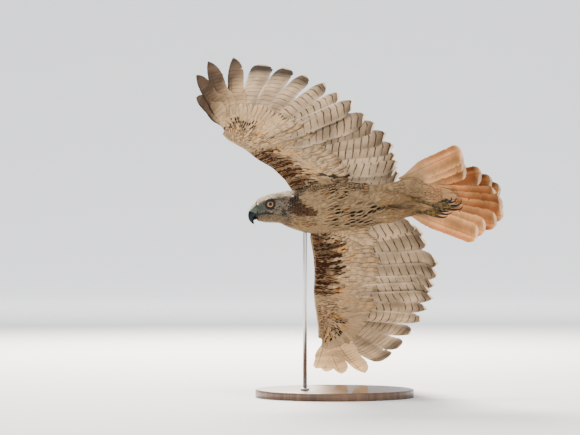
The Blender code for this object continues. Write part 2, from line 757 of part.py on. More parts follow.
def cylinder(name, at, radius, low, high, sides, group, bevel=0.0):
    shape = bmesh.new()
    bmesh.ops.create_cone(shape, cap_ends=True, segments=sides, radius1=radius, radius2=radius,
                          depth=high - low)
    bmesh.ops.translate(shape, verts=shape.verts, vec=(at[0], at[1], (low + high) / 2))
    if bevel:
        rim = [e for e in shape.edges if all(v.co.z > (low + high) / 2 for v in e.verts)]
        bmesh.ops.bevel(shape, geom=rim, offset=bevel, segments=2, profile=0.5,
                        affect="EDGES", material=-1)
    mesh = bpy.data.meshes.new(name)
    shape.to_mesh(mesh)
    shape.free()
    made = bpy.data.objects.new(name, mesh)
    group.objects.link(made)
    return made


def make_stand(group, flesh):
    base = cylinder("stand_base", (0, 0), BASE_RADIUS, 0, BASE_HEIGHT, BASE_SIDES, group,
                    bevel=BASE_BEVEL)
    at = (TRUNK.x + ROD_FROM_TRUNK[0], TRUNK.y + ROD_FROM_TRUNK[1])
    rod = cylinder("stand_rod", at, ROD_RADIUS, BASE_HEIGHT + GAP, TRUNK.z + ROD_REACH,
                   ROD_SIDES, group)
    carve(rod, flesh)
    keep_largest(rod)
    return [base, rod]


def paint(made, name, colour, roughness, metallic=0.0):
    material = bpy.data.materials.get(name)
    if material is None:
        material = bpy.data.materials.new(name)
        material.use_nodes = True
        shader = material.node_tree.nodes["Principled BSDF"]
        shader.inputs["Base Color"].default_value = (*colour, 1)
        shader.inputs["Roughness"].default_value = roughness
        shader.inputs["Metallic"].default_value = metallic
    made.data.materials.clear()
    made.data.materials.append(material)


def main():
    for old in list(bpy.data.objects):
        bpy.data.objects.remove(old)
    group = bpy.data.collections.new("red_tailed_hawk")
    cutters = bpy.data.collections.new("cutters")
    for collection in (group, cutters):
        bpy.context.scene.collection.children.link(collection)

    body_rows = HEAD_RINGS + NECK_RINGS[1:] + TORSO_RINGS[1:]
    flesh = loft("body_room", flesh_rings(body_rows, GAP), cutters)
    pale = [make_head(group, cutters)]
    pale.append(loft("neck", flesh_rings(NECK_RINGS), group))
    pale.append(loft("torso", flesh_rings(TORSO_RINGS), group))
    for made in pale:
        paint(made, "body_plumage", (0.62, 0.50, 0.36), 0.8)
    for made in make_bill(group, cutters):
        paint(made, "bill_horn", (0.04, 0.045, 0.055), 0.35)
    for side, face in (("left", -1), ("right", 1)):
        eye = ball(f"eye_{side}", eye_centre(face), EYE_RADIUS, group)
        paint(eye, "eye", (0.35, 0.2, 0.1), 0.1)
        paint(make_wing(side, group, flesh), "wing_plumage", (0.68, 0.58, 0.46), 0.75)
        thigh, shin, foot, *claws = make_leg(side, group, cutters, flesh)
        paint(thigh, "body_plumage", (0.62, 0.50, 0.36), 0.8)
        for made in (shin, foot):
            paint(made, "scaled_skin", (0.55, 0.42, 0.12), 0.55)
        for claw in claws:
            paint(claw, "claw_horn", (0.02, 0.02, 0.02), 0.3)
    paint(make_tail(group, flesh), "tail_plumage", (0.60, 0.25, 0.11), 0.75)
    base, rod = make_stand(group, flesh)
    paint(base, "stand_wood", (0.10, 0.055, 0.03), 0.4)
    paint(rod, "stand_steel", (0.6, 0.6, 0.6), 0.3, 1.0)


main()
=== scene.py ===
# %% [markdown]
# # A red-tailed hawk in banking flight
#
# The model is a life-size hawk on a plain display stand. Its solids come packed from the
# workshop and are loaded here as a fixed frame: the bird flies towards -X, shows its
# underside towards -Y, and the stand's base rests on the floor at Z = 0. This file dresses
# that frame. Every feather is a real mesh, from the long flight feathers down to the
# scales of plumage on the face, because a bird is mostly the way its feathers overlap.

# %% Load the frame
import functools
import math

import bmesh
import bpy
import numpy as np
from mathutils import Matrix, Vector
from mathutils.bvhtree import BVHTree


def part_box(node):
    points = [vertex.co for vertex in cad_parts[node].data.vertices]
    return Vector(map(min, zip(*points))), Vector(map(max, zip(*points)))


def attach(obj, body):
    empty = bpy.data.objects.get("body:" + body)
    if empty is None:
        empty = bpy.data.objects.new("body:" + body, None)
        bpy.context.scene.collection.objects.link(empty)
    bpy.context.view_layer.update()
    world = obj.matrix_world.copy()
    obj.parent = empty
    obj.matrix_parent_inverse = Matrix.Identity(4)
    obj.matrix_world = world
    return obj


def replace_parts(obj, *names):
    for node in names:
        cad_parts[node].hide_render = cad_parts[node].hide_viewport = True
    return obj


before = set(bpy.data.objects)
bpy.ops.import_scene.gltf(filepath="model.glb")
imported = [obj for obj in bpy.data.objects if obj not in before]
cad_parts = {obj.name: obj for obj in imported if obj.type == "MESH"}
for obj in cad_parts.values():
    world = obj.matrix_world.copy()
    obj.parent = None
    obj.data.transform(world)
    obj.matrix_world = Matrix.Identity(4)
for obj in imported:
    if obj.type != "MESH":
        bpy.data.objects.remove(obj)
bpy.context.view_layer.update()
print("CAD nodes:", len(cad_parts))

# %% [markdown]
# ## Where things are
#
# All places on the bird are measured from one point in the middle of its chest. Small
# helpers blend two values, read a table of rows between its steps, and lead a smooth
# curve through a few points.

# %% The chest and small helpers
TRUNK = np.array((0.030, -0.055, 0.385))


def unit(v):
    v = np.asarray(v, float)
    return v / np.maximum(np.linalg.norm(v, axis=-1, keepdims=True), 1e-12)


def lerp(a, b, share):
    return a + (b - a) * share


def smooth(low, high, value):
    # 0 below low, 1 above high, and a soft step between
    share = np.clip((np.asarray(value, float) - low) / (high - low), 0, 1)
    return share * share * (3 - 2 * share)


# %% Tables and curves
def read_rows(rows, place):
    # Rows of numbers, read by straight lines at any place between them
    rows = np.asarray(rows, float)
    index = np.arange(len(rows))
    return np.array([np.interp(place, index, column) for column in rows.T]).T


def read_keyed(rows, key):
    # Rows whose first number is their key, read by straight lines at any key
    rows = np.asarray(rows, float)
    return np.array([np.interp(key, rows[:, 0], column) for column in rows.T[1:]])


def spline(points, count):
    # Points on a smooth curve through the given ones
    points = np.asarray(points, float)
    ends = np.vstack([2 * points[0] - points[1], points, 2 * points[-1] - points[-2]])
    out = []
    for place in np.linspace(0, len(points) - 1, count):
        i = min(int(place), len(points) - 2)
        t = place - i
        a, b, c, d = ends[i:i + 4]
        out.append(0.5 * (2 * b + (c - a) * t + (2 * a - 5 * b + 4 * c - d) * t ** 2
                          + (3 * b - a - 3 * c + d) * t ** 3))
    return np.array(out)


# %% [markdown]
# ## Camera
#
# The photograph looks up at the bird from far below with a long lens, so the bird shows
# no perspective to speak of. Here the bird banks on its stand instead, and the camera
# stands level, six metres away. Its lens makes the picture 1.16 m wide at the bird.

# %% The camera
CAMERA_FROM_TRUNK = (-0.12, -6.0, -0.023)
VIEW_WIDTH = 1.16
SENSOR = 36.0
camera_data = bpy.data.cameras.new("camera")
camera_data.sensor_width = SENSOR
camera_data.lens = SENSOR * -CAMERA_FROM_TRUNK[1] / VIEW_WIDTH
camera_data.clip_end = 60
camera = bpy.data.objects.new("camera", camera_data)
camera.location = TRUNK + CAMERA_FROM_TRUNK
camera.rotation_euler = (math.pi / 2, 0, 0)
bpy.context.scene.collection.objects.link(camera)
bpy.context.scene.camera = camera
print("camera at", tuple(round(v, 3) for v in camera.location), "lens", round(camera_data.lens))

# %% [markdown]
# ## Materials for plumage
#
# Feathers get their colours from attributes that each vane carries: its own tint, where
# on the vane a point lies, and how strongly the vane is barred and tipped. The nodes
# then draw what is finer than the mesh: the barbs that run out from the shaft, the thin
# dark bars, the dark band before the tip and the pale fringe. Some light comes through
# every vane, which is what makes a hawk's tail glow when it is lit from behind.

# %% Sums of node values
class Term:
    # A number in a node tree, reckoned with like a plain one
    def __init__(self, nodes, socket):
        self.nodes, self.socket = nodes, socket

    def __add__(self, other):
        return self.nodes.math("ADD", self, other)

    def __sub__(self, other):
        return self.nodes.math("SUBTRACT", self, other)

    def __rsub__(self, other):
        return self.nodes.math("SUBTRACT", other, self)

    def __mul__(self, other):
        return self.nodes.math("MULTIPLY", self, other)

    def __truediv__(self, other):
        return self.nodes.math("DIVIDE", self, other)

    def __abs__(self):
        return self.nodes.math("ABSOLUTE", self)


# %% A chain of shader nodes
class Nodes:
    # A short way to write a chain of shader nodes
    def __init__(self, name):
        self.material = bpy.data.materials.new(name)
        self.material.use_nodes = True
        self.tree = self.material.node_tree
        self.shader = self.tree.nodes["Principled BSDF"]
        self.place = self.tree.nodes.new("ShaderNodeTexCoord").outputs["Object"]

    def put(self, socket, value):
        value = value.socket if isinstance(value, Term) else value
        if isinstance(value, bpy.types.NodeSocket):
            self.tree.links.new(value, socket)
        else:
            socket.default_value = value

    def add(self, kind, **inputs):
        node = self.tree.nodes.new(kind)
        for name, value in inputs.items():
            self.put(node.inputs[name.replace("_", " ")], value)
        return node

    def math(self, operation, *values):
        node = self.tree.nodes.new("ShaderNodeMath")
        node.operation = operation
        for socket, value in zip(node.inputs, values):
            self.put(socket, value)
        return Term(self, node.outputs[0])

    def vector(self, x, y, z):
        return self.add("ShaderNodeCombineXYZ", X=x, Y=y, Z=z).outputs[0]

    def parts(self, vector):
        node = self.add("ShaderNodeSeparateXYZ", Vector=vector)
        return [Term(self, out) for out in node.outputs]

    def step(self, low, high, value):
        # A soft step from 0 to 1 between low and high
        node = self.add("ShaderNodeMapRange", Value=value, From_Min=low, From_Max=high)
        node.interpolation_type = "SMOOTHSTEP"
        return Term(self, node.outputs["Result"])

    def mix(self, share, a, b):
        node = self.tree.nodes.new("ShaderNodeMix")
        node.data_type = "RGBA"
        sockets = {s.identifier: s for s in (*node.inputs, *node.outputs)}
        for name, value in (("Factor_Float", share), ("A_Color", a), ("B_Color", b)):
            self.put(sockets[name], value)
        return sockets["Result_Color"]

    def shaded(self, colour, value):
        return self.add("ShaderNodeHueSaturation", Value=value, Color=colour).outputs["Color"]

    def noise(self, scale, detail=2.0, roughness=0.5, vector=None):
        node = self.add("ShaderNodeTexNoise", Vector=vector or self.place, Scale=scale,
                        Detail=detail, Roughness=roughness)
        return Term(self, node.outputs["Fac"])

    def cells(self, scale):
        node = self.add("ShaderNodeTexVoronoi", Vector=self.place, Scale=scale)
        return Term(self, node.outputs["Distance"])

    def attribute(self, name):
        node = self.tree.nodes.new("ShaderNodeAttribute")
        node.attribute_name = name
        return node.outputs

    def bump(self, height, distance, strength):
        node = self.add("ShaderNodeBump", Height=height, Distance=distance, Strength=strength)
        self.put(self.shader.inputs["Normal"], node.outputs["Normal"])
        return node.outputs["Normal"]

    def finish(self, colour, roughness, **inputs):
        inputs = {"Base Color": colour, "Roughness": roughness, **inputs}
        for name, value in inputs.items():
            self.put(self.shader.inputs[name.replace("_", " ")], value)
        return self.material

    def plumage(self, colour, shade, streak, depth, roughness, glow):
        # Barbs shade and dent the vane, and a share of the light glows through it
        lit = self.shaded(colour, shade)
        normal = self.bump(streak, depth, 0.6)
        through = self.add("ShaderNodeBsdfTranslucent", Color=lit, Normal=normal)
        both = self.add("ShaderNodeMixShader", Fac=glow)
        self.put(both.inputs[1], self.shader.outputs[0])
        self.put(both.inputs[2], through.outputs[0])
        self.put(self.tree.nodes["Material Output"].inputs["Surface"], both.outputs[0])
        return self.finish(lit, roughness, Specular_IOR_Level=0.06)


# %% Values of the plumage materials
BAR_STEP = 0.0150
BAR_INK = (0.034, 0.018, 0.011, 1)
TIP_INK = (0.018, 0.010, 0.007, 1)
FRINGE = (0.90, 0.76, 0.60, 1)
# On a large vane, metres from the tip: where the fringe ends, and how soft the band is
FRINGE_END, BAND_SOFT = (0.0022, 0.0048), (-0.028, 0.012)
BAR_THICK, BAR_TAPER, BAR_SOFT, BAR_END = 0.085, -0.05, (-0.045, 0.075), (0.76, 0.94)
# On a small one, as shares of its length: drop, tip and fringe
DROP_GROWS, DROP_ENDS, DROP_WIDE = (0.05, 0.66), (0.92, 0.99), 0.50
TIP_STARTS, FRINGE_STARTS, BAR_WAVES = (0.62, 0.84), (0.80, 0.95), 24


def barbs(n, s, along):
    # Fine streaks that leave the shaft at a slant
    slant = (abs(s) * 0.010 + along) * 900
    return n.noise(1.0, 3, 0.6, n.vector(slant, s * 1.6, 0))


# %% The large feathers' material
def large_feather_material():
    # mark holds the band's width, then how strongly band, bars and fringe are drawn
    n = Nodes("large_feathers")
    s, along, left = n.parts(n.attribute("lay")["Vector"])
    mark = n.attribute("mark")
    width, band_ink, bar_ink = n.parts(mark["Color"])
    aside = abs(s)
    drift = (n.noise(45) - 0.5) * 0.006
    bend = aside * -0.0060 + s * 0.0040
    away = left + drift + bend
    inside = n.step(*FRINGE_END, away)
    low, high = (width * 0.1 + soft for soft in BAND_SOFT)
    band = inside * (1 - n.step(low, high, away)) * band_ink
    phase = n.math("FRACT", (along - drift - bend) / BAR_STEP)
    thick = aside * BAR_TAPER + BAR_THICK
    low, high = (thick + soft for soft in BAR_SOFT)
    line = 1 - n.step(low, high, abs(phase - 0.5))
    patchy = (1 - n.step(*BAR_END, aside)) * n.step(0.20, 0.55, n.noise(40))
    colour = n.mix(line * bar_ink * patchy, n.attribute("tint")["Color"], BAR_INK)
    colour = n.mix(band, colour, TIP_INK)
    colour = n.mix((1 - inside) * mark["Alpha"], colour, FRINGE)
    streak = barbs(n, s, along)
    cloud = n.step(0.30, 0.70, n.noise(26, 3))
    return n.plumage(colour, streak + 0.22 + cloud * 0.50, streak, 0.0003, 0.85, 0.36)


# %% The small feathers' material
def small_feather_material():
    # mark holds how strongly a drop, bars, a dark tip and a pale fringe are drawn
    n = Nodes("small_feathers")
    s, along, t = n.parts(n.attribute("lay")["Vector"])
    mark = n.attribute("mark")
    drop_ink, bar_ink, tip_ink = n.parts(mark["Color"])
    aside = abs(s)
    inside = n.step(*DROP_GROWS, t) * DROP_WIDE - aside
    drop = n.step(-0.02, 0.10, inside) * (1 - n.step(*DROP_ENDS, t))
    bars = n.step(0.1, 0.7, n.math("SINE", (t + aside * -0.08) * BAR_WAVES))
    tip = n.step(*TIP_STARTS, t + aside * 0.10)
    fringe = n.step(*FRINGE_STARTS, n.math("MAXIMUM", aside, t * 0.97))
    ink = n.attribute("ink")["Color"]
    colour = n.attribute("tint")["Color"]
    for strength in (bars * bar_ink, drop * drop_ink, tip * tip_ink):
        colour = n.mix(strength, colour, ink)
    colour = n.mix(fringe * mark["Alpha"], colour, FRINGE)
    streak = barbs(n, s, along)
    return n.plumage(colour, streak + 0.50, streak, 0.0004, 0.9, 0.22)


LARGE = large_feather_material()
SMALL = small_feather_material()
print("plumage materials:", LARGE.name, SMALL.name)

# %% [markdown]
# ## One vane, many times
#
# A vane is a thin closed body: a grid for its outer face, a second one just behind it,
# and either a shared rim or a narrow wall round the edge. One operator makes the grid,
# and arrays repeat it, because thousands of feathers as separate objects would be slow
# and as hair would be lost in the export. Each vane has a shaft line, the direction
# across it, and its face's direction, all given row by row.

# %% One vane's faces
def vane_grid(rows, columns):
    # Faces of a flat grid whose corners are counted row by row
    shape = bmesh.new()
    bmesh.ops.create_grid(shape, x_segments=columns, y_segments=rows, size=1)
    number = {v: i for i, v in enumerate(in_rows(shape))}
    faces = np.array([[number[v] for v in f.verts] for f in shape.faces])
    shape.free()
    return faces


def in_rows(shape):
    # A flat grid's points, row by row
    return sorted(shape.verts, key=lambda v: (round(v.co.y, 5), round(v.co.x, 5)))


def vane_faces(rows, columns, walled):
    # Outer face, inner face and wall of one vane, and where each point's lower twin is
    top = vane_grid(rows, columns)
    count = (rows + 1) * (columns + 1)
    grid = np.arange(count).reshape(rows + 1, columns + 1)
    rim = np.concatenate([grid[0, :-1], grid[:-1, -1], grid[-1, :0:-1], grid[:0:-1, 0]])
    if walled:
        after = np.roll(rim, -1)
        wall = np.stack([rim, rim + count, after + count, after], 1)
        return np.concatenate([top, (top + count)[:, ::-1], wall]), np.arange(count) + count
    below, inside = np.arange(count), np.setdiff1d(grid, rim)
    below[inside] = count + np.arange(len(inside))
    return np.concatenate([top, below[top][:, ::-1]]), below


# %% A vane's place in its map
# How far the walls' corners lie inside a vane's own patch
WALL_INSET = 0.04


def bake_layout(rows, columns, faces, below):
    # Each face's corners inside a vane's own patch, counted from 0 to 1
    count = (rows + 1) * (columns + 1)
    spread = np.stack(np.meshgrid(np.linspace(0, 1, columns + 1), np.linspace(0, 1, rows + 1)), -1)
    flat = np.zeros((below.max() + 1, 2))
    flat[below] = flat[:count] = spread.reshape(-1, 2)
    corners = flat[faces]
    walls = np.arange(len(faces)) >= 2 * rows * columns
    side = walls[:, None] & (faces >= count)
    corners[side] = corners[side] * (1 - 2 * WALL_INSET) + WALL_INSET
    return corners


# %% Attributes and objects
def put_attribute(mesh, name, kind, values):
    values = np.asarray(values, np.float32)
    if kind == "FLOAT_COLOR" and values.shape[-1] == 3:
        values = np.concatenate([values, np.ones_like(values[..., :1])], -1)
    layer = mesh.attributes.new(name, kind, "POINT")
    layer.data.foreach_set("color" if kind == "FLOAT_COLOR" else "vector", values.ravel())


def add_object(name, mesh, replaced=()):
    made = bpy.data.objects.new(name, mesh)
    bpy.context.scene.collection.objects.link(made)
    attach(made, "root")
    if replaced:
        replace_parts(made, *replaced)
    print(f"{name}: {len(mesh.polygons)} faces")
    return made


# %% Join many vanes as one mesh
def join_vanes(name, top, low, tint, tint_low, lay, material, marks, inks, bake,
               walled=False):
    # top and low are (vanes, rows, columns, xyz); lay holds across, along and left over
    many, rows, columns = top.shape[0], top.shape[1] - 1, top.shape[2] - 1
    one, below = vane_faces(rows, columns, walled)
    count, size = (rows + 1) * (columns + 1), below.max() + 1
    own = below >= count

    def stack(upper, lower):
        whole = np.zeros((many, size, upper.shape[-1]))
        whole[:, :count] = upper.reshape(many, count, -1)
        whole[:, below[own]] = lower.reshape(many, count, -1)[:, own]
        return whole

    points = stack(top, low)
    # Faces are turned so that the outer one looks along the vane's own normal
    a, b, c = points[0, one[rows * columns // 2][:3]]
    outward = top[0, rows // 2, columns // 2] - low[0, rows // 2, columns // 2]
    if np.dot(np.cross(b - a, c - b), outward) < 0:
        one = one[:, ::-1]
    faces = (one[None] + (np.arange(many) * size)[:, None, None]).reshape(-1, 4)
    mesh = bpy.data.meshes.new(name)
    mesh.vertices.add(many * size)
    mesh.vertices.foreach_set("co", points.reshape(-1).astype(np.float32))
    mesh.loops.add(faces.size)
    mesh.loops.foreach_set("vertex_index", faces.reshape(-1).astype(np.int32))
    mesh.polygons.add(len(faces))
    mesh.polygons.foreach_set("loop_start", np.arange(len(faces), dtype=np.int32) * 4)
    mesh.update(calc_edges=True)
    mesh.polygons.foreach_set("use_smooth", np.ones(len(faces), bool))
    put_attribute(mesh, "tint", "FLOAT_COLOR", stack(tint, tint_low))
    put_attribute(mesh, "lay", "FLOAT_VECTOR", stack(lay, lay))
    put_attribute(mesh, "mark", "FLOAT_COLOR", np.repeat(marks, size, axis=0))
    if inks is not None:
        put_attribute(mesh, "ink", "FLOAT_COLOR", np.repeat(inks, size, axis=0))
    start, extent, second = bake
    corner = bake_layout(rows, columns, one, below)
    uv = start[:, None, None] + corner[None] * extent[:, None, None]
    if second is not None:
        inner = slice(rows * columns, 2 * rows * columns)
        uv[:, inner] += (second - start)[:, None, None]
    layer = mesh.uv_layers.new(name="OFBake")
    layer.data.foreach_set("uv", uv.reshape(-1).astype(np.float32))
    mesh.materials.append(material)
    return add_object(name, mesh)


# %% Give a row of shaft lines their width, camber and thickness
CAMBER_POWER, RIDGE_HALF = 1.7, 0.05
# On the skin's unwrap: a root's patch, and the first and last place for one
ROOT_PATCH, FIRST_PLACE, LAST_PLACE = 0.003, 0.002, 0.995


def shape_vanes(middle, across, face, outer, inner, columns, thick, camber, ridge=None):
    # Every input is given row by row for each vane; columns run from -1 to 1
    side = np.where(columns[None, None] > 0, outer[..., None], inner[..., None])
    out = side * columns
    droop = -camber * side * np.abs(columns) ** CAMBER_POWER
    if ridge is not None:
        droop = droop + ridge[..., None] * np.clip(1 - np.abs(columns) / RIDGE_HALF, 0, 1)
    half = thick[..., None] / 2 * np.ones_like(columns)
    base = middle[:, :, None] + across[:, :, None] * out[..., None]
    up = face[:, :, None]
    return base + up * (droop + half)[..., None], base + up * (droop - half)[..., None]


def small_bake(places):
    # A small patch at each root's place on the skin's own unwrap
    patch = np.full((len(places), 2), ROOT_PATCH)
    return np.clip(places, FIRST_PLACE, LAST_PLACE), patch, None


# %% [markdown]
# ## The wings' bones
#
# A wing is read from nine stations between shoulder and fingertip: where its front edge
# is, how its chord rises, how far the flesh reaches back and how thick it is. Flight
# feathers are rooted behind the middle of the flesh. From them comes one smooth surface
# for the whole wing, with a place along it (which feather) and a distance behind the
# front edge, so that every covert can be laid on it like a tile.

# %% Wing values
WRIST = 5
HAND_BLEND = (3.5, 6.0)
ROOT_SHARE = 0.60
LEFT_WING = {
    "name": "left", "turn": 1, "forward": 1.6, "hand": (-0.193, 0.765, 0.614),
    "bends": (0.02, 0.05, 0.085, 0.115, 0.14, 0.15, 0.115, 0.105, 0.15, 0.25),
    # Front edge x, y, z, chord's rise, chord's turn, fleshy chord, thickness
    "stations": (
        (-0.094, 0.010, 0.006, 0, 0, 0.105, 0.034), (-0.116, 0.032, 0.031, 2, 0, 0.100, 0.026),
        (-0.130, 0.050, 0.053, 4, 0, 0.090, 0.022), (-0.158, 0.072, 0.080, 6, 0, 0.078, 0.018),
        (-0.189, 0.092, 0.097, 14, 0, 0.064, 0.016), (-0.211, 0.106, 0.116, 22, 0, 0.052, 0.015),
        (-0.228, 0.132, 0.125, 25, 12, 0.044, 0.013), (-0.247, 0.163, 0.136, 25, 24, 0.034, 0.010),
        (-0.268, 0.205, 0.157, 25, 45, 0.018, 0.006),
    ),
    # Inner feathers from the body to the wrist: place, turn, length
    "secondaries": (
        (1.25, 0, 0.140), (1.60, 0, 0.160), (1.95, 0, 0.176), (2.30, 0, 0.184), (2.60, 0, 0.196),
        (2.95, 0, 0.206), (3.35, 0, 0.218), (3.80, 0, 0.224), (4.25, 0, 0.220), (4.65, 0, 0.216),
    ),
}
RIGHT_WING = {
    "name": "right", "turn": -1, "forward": -1.6, "hand": (0.027, 0.853, -0.521),
    "bends": (0.03, 0.06, 0.09, 0.115, 0.13, 0.14, 0.145, 0.20, 0.23, 0.22),
    "stations": (
        (-0.064, 0.012, -0.030, 14, 0, 0.105, 0.034), (-0.081, 0.035, -0.058, 13, 0, 0.102, 0.026),
        (-0.073, 0.072, -0.101, 11, 0, 0.092, 0.022), (-0.070, 0.100, -0.138, 2, 0, 0.080, 0.018),
        (-0.072, 0.127, -0.175, 2, 0, 0.066, 0.016), (-0.070, 0.145, -0.200, 3, 0, 0.054, 0.015),
        (-0.066, 0.168, -0.223, 3, 6, 0.046, 0.013), (-0.062, 0.197, -0.251, 3, 12, 0.034, 0.010),
        (-0.062, 0.238, -0.288, 3, 30, 0.018, 0.006),
    ),
    "secondaries": (
        (1.15, 0, 0.130), (1.45, 0, 0.143), (1.70, 0, 0.158), (2.00, 0, 0.172), (2.30, 0, 0.180),
        (2.75, 3, 0.203), (3.35, 0, 0.208), (3.95, 0, 0.208), (4.55, 0, 0.204),
    ),
}
# Primaries: place along the wing, turn from the chord, length
PRIMARIES = (
    (5.15, 3, 0.213), (5.45, 13, 0.205), (5.75, 26, 0.209), (6.05, 42, 0.220), (6.35, 55.5, 0.243),
    (6.65, 67, 0.265), (6.90, 79, 0.297), (7.10, 88.5, 0.306), (7.30, 94.5, 0.284),
    (7.50, 99.5, 0.223),
)
FINGERS = 4
SECONDARY_BENDS = (0.01, 0.02)
FINGER_SWEEP, SWEEP = 0.045, 0.015
FINGER_SPLIT = 0.45
SHINGLE_STEP = 0.0012
STEEPEST_SHINGLE = 0.14
# Half thickness of the flesh along its chord, as a share of its thickness
AIRFOIL_U = (0.00, 0.06, 0.22, 0.50, 0.80, 1.00, 1.60)
AIRFOIL_V = (0.00, 0.36, 0.50, 0.40, 0.20, 0.07, 0.00)
COAT_DEPTH = 0.0022
TURN_SHARE = 0.14
# Shafts without a feather between the body and the first one: place, length
INNER_SHAFTS = ((0.15, 0.105), (0.55, 0.115), (0.90, 0.128))
# How far apart the sheet's places are read for its directions, backwards and outwards
BACK_STEP, OUT_STEP = 0.002, 0.25


# %% Read the wing's frame
def chord_frame(wing, place):
    row = read_rows(wing["stations"], place)
    rise = math.radians(row[3])
    chord = np.array((math.cos(rise), 0, math.sin(rise)))
    stations = np.array(wing["stations"])[:, :3]
    arm = unit(stations[WRIST] - stations[1])
    share = min(max((place - HAND_BLEND[0]) / (HAND_BLEND[1] - HAND_BLEND[0]), 0), 1)
    span = unit(lerp(arm, unit(wing["hand"]), share))
    span = unit(span - chord * span.dot(chord))
    return row, chord, span, np.cross(chord, span) * wing["turn"]


def turned(chord, span, degrees):
    angle = math.radians(degrees)
    return unit(chord * math.cos(angle) + span * math.sin(angle))


def wing_feather(wing, place, degrees, length, sweep, bend):
    row, chord, span, under = chord_frame(wing, place)
    front = TRUNK + row[:3]
    root = front + turned(chord, span, row[4]) * (row[5] * ROOT_SHARE)
    return {"front": front, "root": root, "along": turned(chord, span, degrees), "under": under,
            "length": length, "sweep": sweep, "bend": bend, "chord": row[5], "thick": row[6]}


def wing_feathers(wing):
    # All flight feathers from the body outwards
    rows = []
    for i, (place, degrees, length) in enumerate(wing["secondaries"]):
        late = i - (len(wing["secondaries"]) - len(SECONDARY_BENDS))
        bend = SECONDARY_BENDS[late] if late >= 0 else 0
        rows.append(wing_feather(wing, place, degrees, length, SWEEP, bend))
    for i, (place, degrees, length) in enumerate(PRIMARIES):
        finger = i >= len(PRIMARIES) - FINGERS
        forward = wing["forward"] * (1 if i >= len(PRIMARIES) / 2 else 0.5)
        rows.append(wing_feather(wing, place, degrees + forward, length,
                                 FINGER_SWEEP if finger else SWEEP, wing["bends"][i]))
    return {key: np.array([row[key] for row in rows]) for key in rows[0]}


# %% The wing as one sheet
class WingSurface:
    # The wing as one sheet: q counts flight feathers, e is the way behind the front edge
    def __init__(self, wing):
        self.turn = wing["turn"]
        self.flight = wing_feathers(wing)
        inner = [wing_feather(wing, place, 0, length, 0, 0)
                 for place, length in INNER_SHAFTS]
        self.rows = {key: np.concatenate([np.array([row[key] for row in inner]), values])
                     for key, values in self.flight.items()}
        self.last = len(self.rows["length"]) - 1

    def at(self, key, q):
        values = self.rows[key]
        q = np.clip(q, 0, self.last)
        low = np.minimum(q.astype(int), self.last - 1)
        share = q - low
        if values.ndim == 2:
            share = share[..., None]
        return lerp(values[low], values[low + 1], share)

    def middle(self, q, e):
        front, root, along = (self.at(k, q) for k in ("front", "root", "along"))
        under, length = self.at("under", q), self.at("length", q)
        along = unit(along)
        reach = np.linalg.norm(root - front, axis=-1)
        outward = unit(np.cross(under, along)) * self.turn
        drop = outward * self.at("sweep", q)[..., None] + under * self.at("bend", q)[..., None]

        def shaft(t):
            return root + along * (length * t)[..., None] - drop * (length * t * t)[..., None]

        # The flesh turns onto the shaft in one soft curve
        turn_way = reach + TURN_SHARE * length
        u = np.clip(e / turn_way, 0, 1)[..., None]
        curve = (1 - u) ** 2 * front + 2 * u * (1 - u) * root + u * u * shaft(
            np.full_like(length, TURN_SHARE))
        return np.where((e < turn_way)[..., None], curve, shaft((e - reach) / length))

    def frame(self, q, e):
        # Place, direction backwards, direction outwards and underside of the sheet
        place = self.middle(q, e)
        ahead = unit(self.middle(q, e + BACK_STEP) - place)
        low, high = np.maximum(q - OUT_STEP, 0), np.minimum(q + OUT_STEP, self.last)
        outward = self.middle(high, e) - self.middle(low, e)
        outward = unit(outward - ahead * (outward * ahead).sum(-1, keepdims=True))
        down = np.cross(outward, ahead)
        down = down * np.sign((down * self.at("under", q)).sum(-1, keepdims=True))
        return place, ahead, outward, down

    def reach(self, q):
        return np.linalg.norm(self.at("root", q) - self.at("front", q), axis=-1)

    def height(self, q, e):
        # How far the flesh stands off the middle sheet
        reach, chord = self.reach(q), self.at("chord", q)
        u = np.where(e < reach, e / reach * ROOT_SHARE, ROOT_SHARE + (e - reach) / chord)
        return np.maximum(np.interp(u, AIRFOIL_U, AIRFOIL_V) * self.at("thick", q) - COAT_DEPTH, 0)


SURFACES = {"left": WingSurface(LEFT_WING), "right": WingSurface(RIGHT_WING)}
print("flight feathers:", [len(s.flight["length"]) for s in SURFACES.values()])

# %% [markdown]
# ## Flight feathers
#
# Primaries and secondaries are long closed vanes with a raised shaft. Fingers narrow in
# steps half way out, the others keep their width and end in a blunt, slanted tip. A row
# of them overlaps like shingles, each one's leading edge above its neighbour's trailing
# edge, so each vane is tilted a little, and turns with the sheet that its row makes.
# Small nicks in the edges keep them from looking cut out of card.

# %% Widths of a large vane
LARGE_ROWS = 72
LARGE_COLUMNS = np.array((-1, -0.93, -0.75, -0.5, -0.25, -0.05, 0, 0.05, 0.3, 0.6, 0.9, 1.0))
T_LARGE = np.linspace(0, 1, LARGE_ROWS + 1)
SHAFT_HALF = 0.03
QUILL, STEP_SOFT = 0.0016, 0.06
# From root to tip: thickness, and how far the shaft stands out
VANE_THICK, SHAFT_RISE = (0.0008, 0.0004), (0.0011, 0.0001)
# How deep nicks are, and how many rows have one
OUTER_NICKS, INNER_NICKS, WHOLE_TIP = (0.10, 0.05), (0.22, 0.07), 8
# How much of a feather's cell in the atlas it fills
CELL_FILL, CELL_START = 0.94, 0.002


def vane_width(wide, opens, closes, power, place, share):
    # Half width along a vane: opens from the quill, may step in, closes at the tip
    t = T_LARGE
    width = wide * smooth(-0.05, opens, t)
    width = width * lerp(1, share, smooth(place - STEP_SOFT, place + STEP_SOFT, t))
    end = np.clip((t - closes) / (1 - closes), 0, 1)
    width = np.maximum(width * (1 - end ** 2) ** power, 0.0007) * smooth(-0.02, 0.03, t)
    return width + QUILL * (1 - smooth(0.0, 0.12, t))


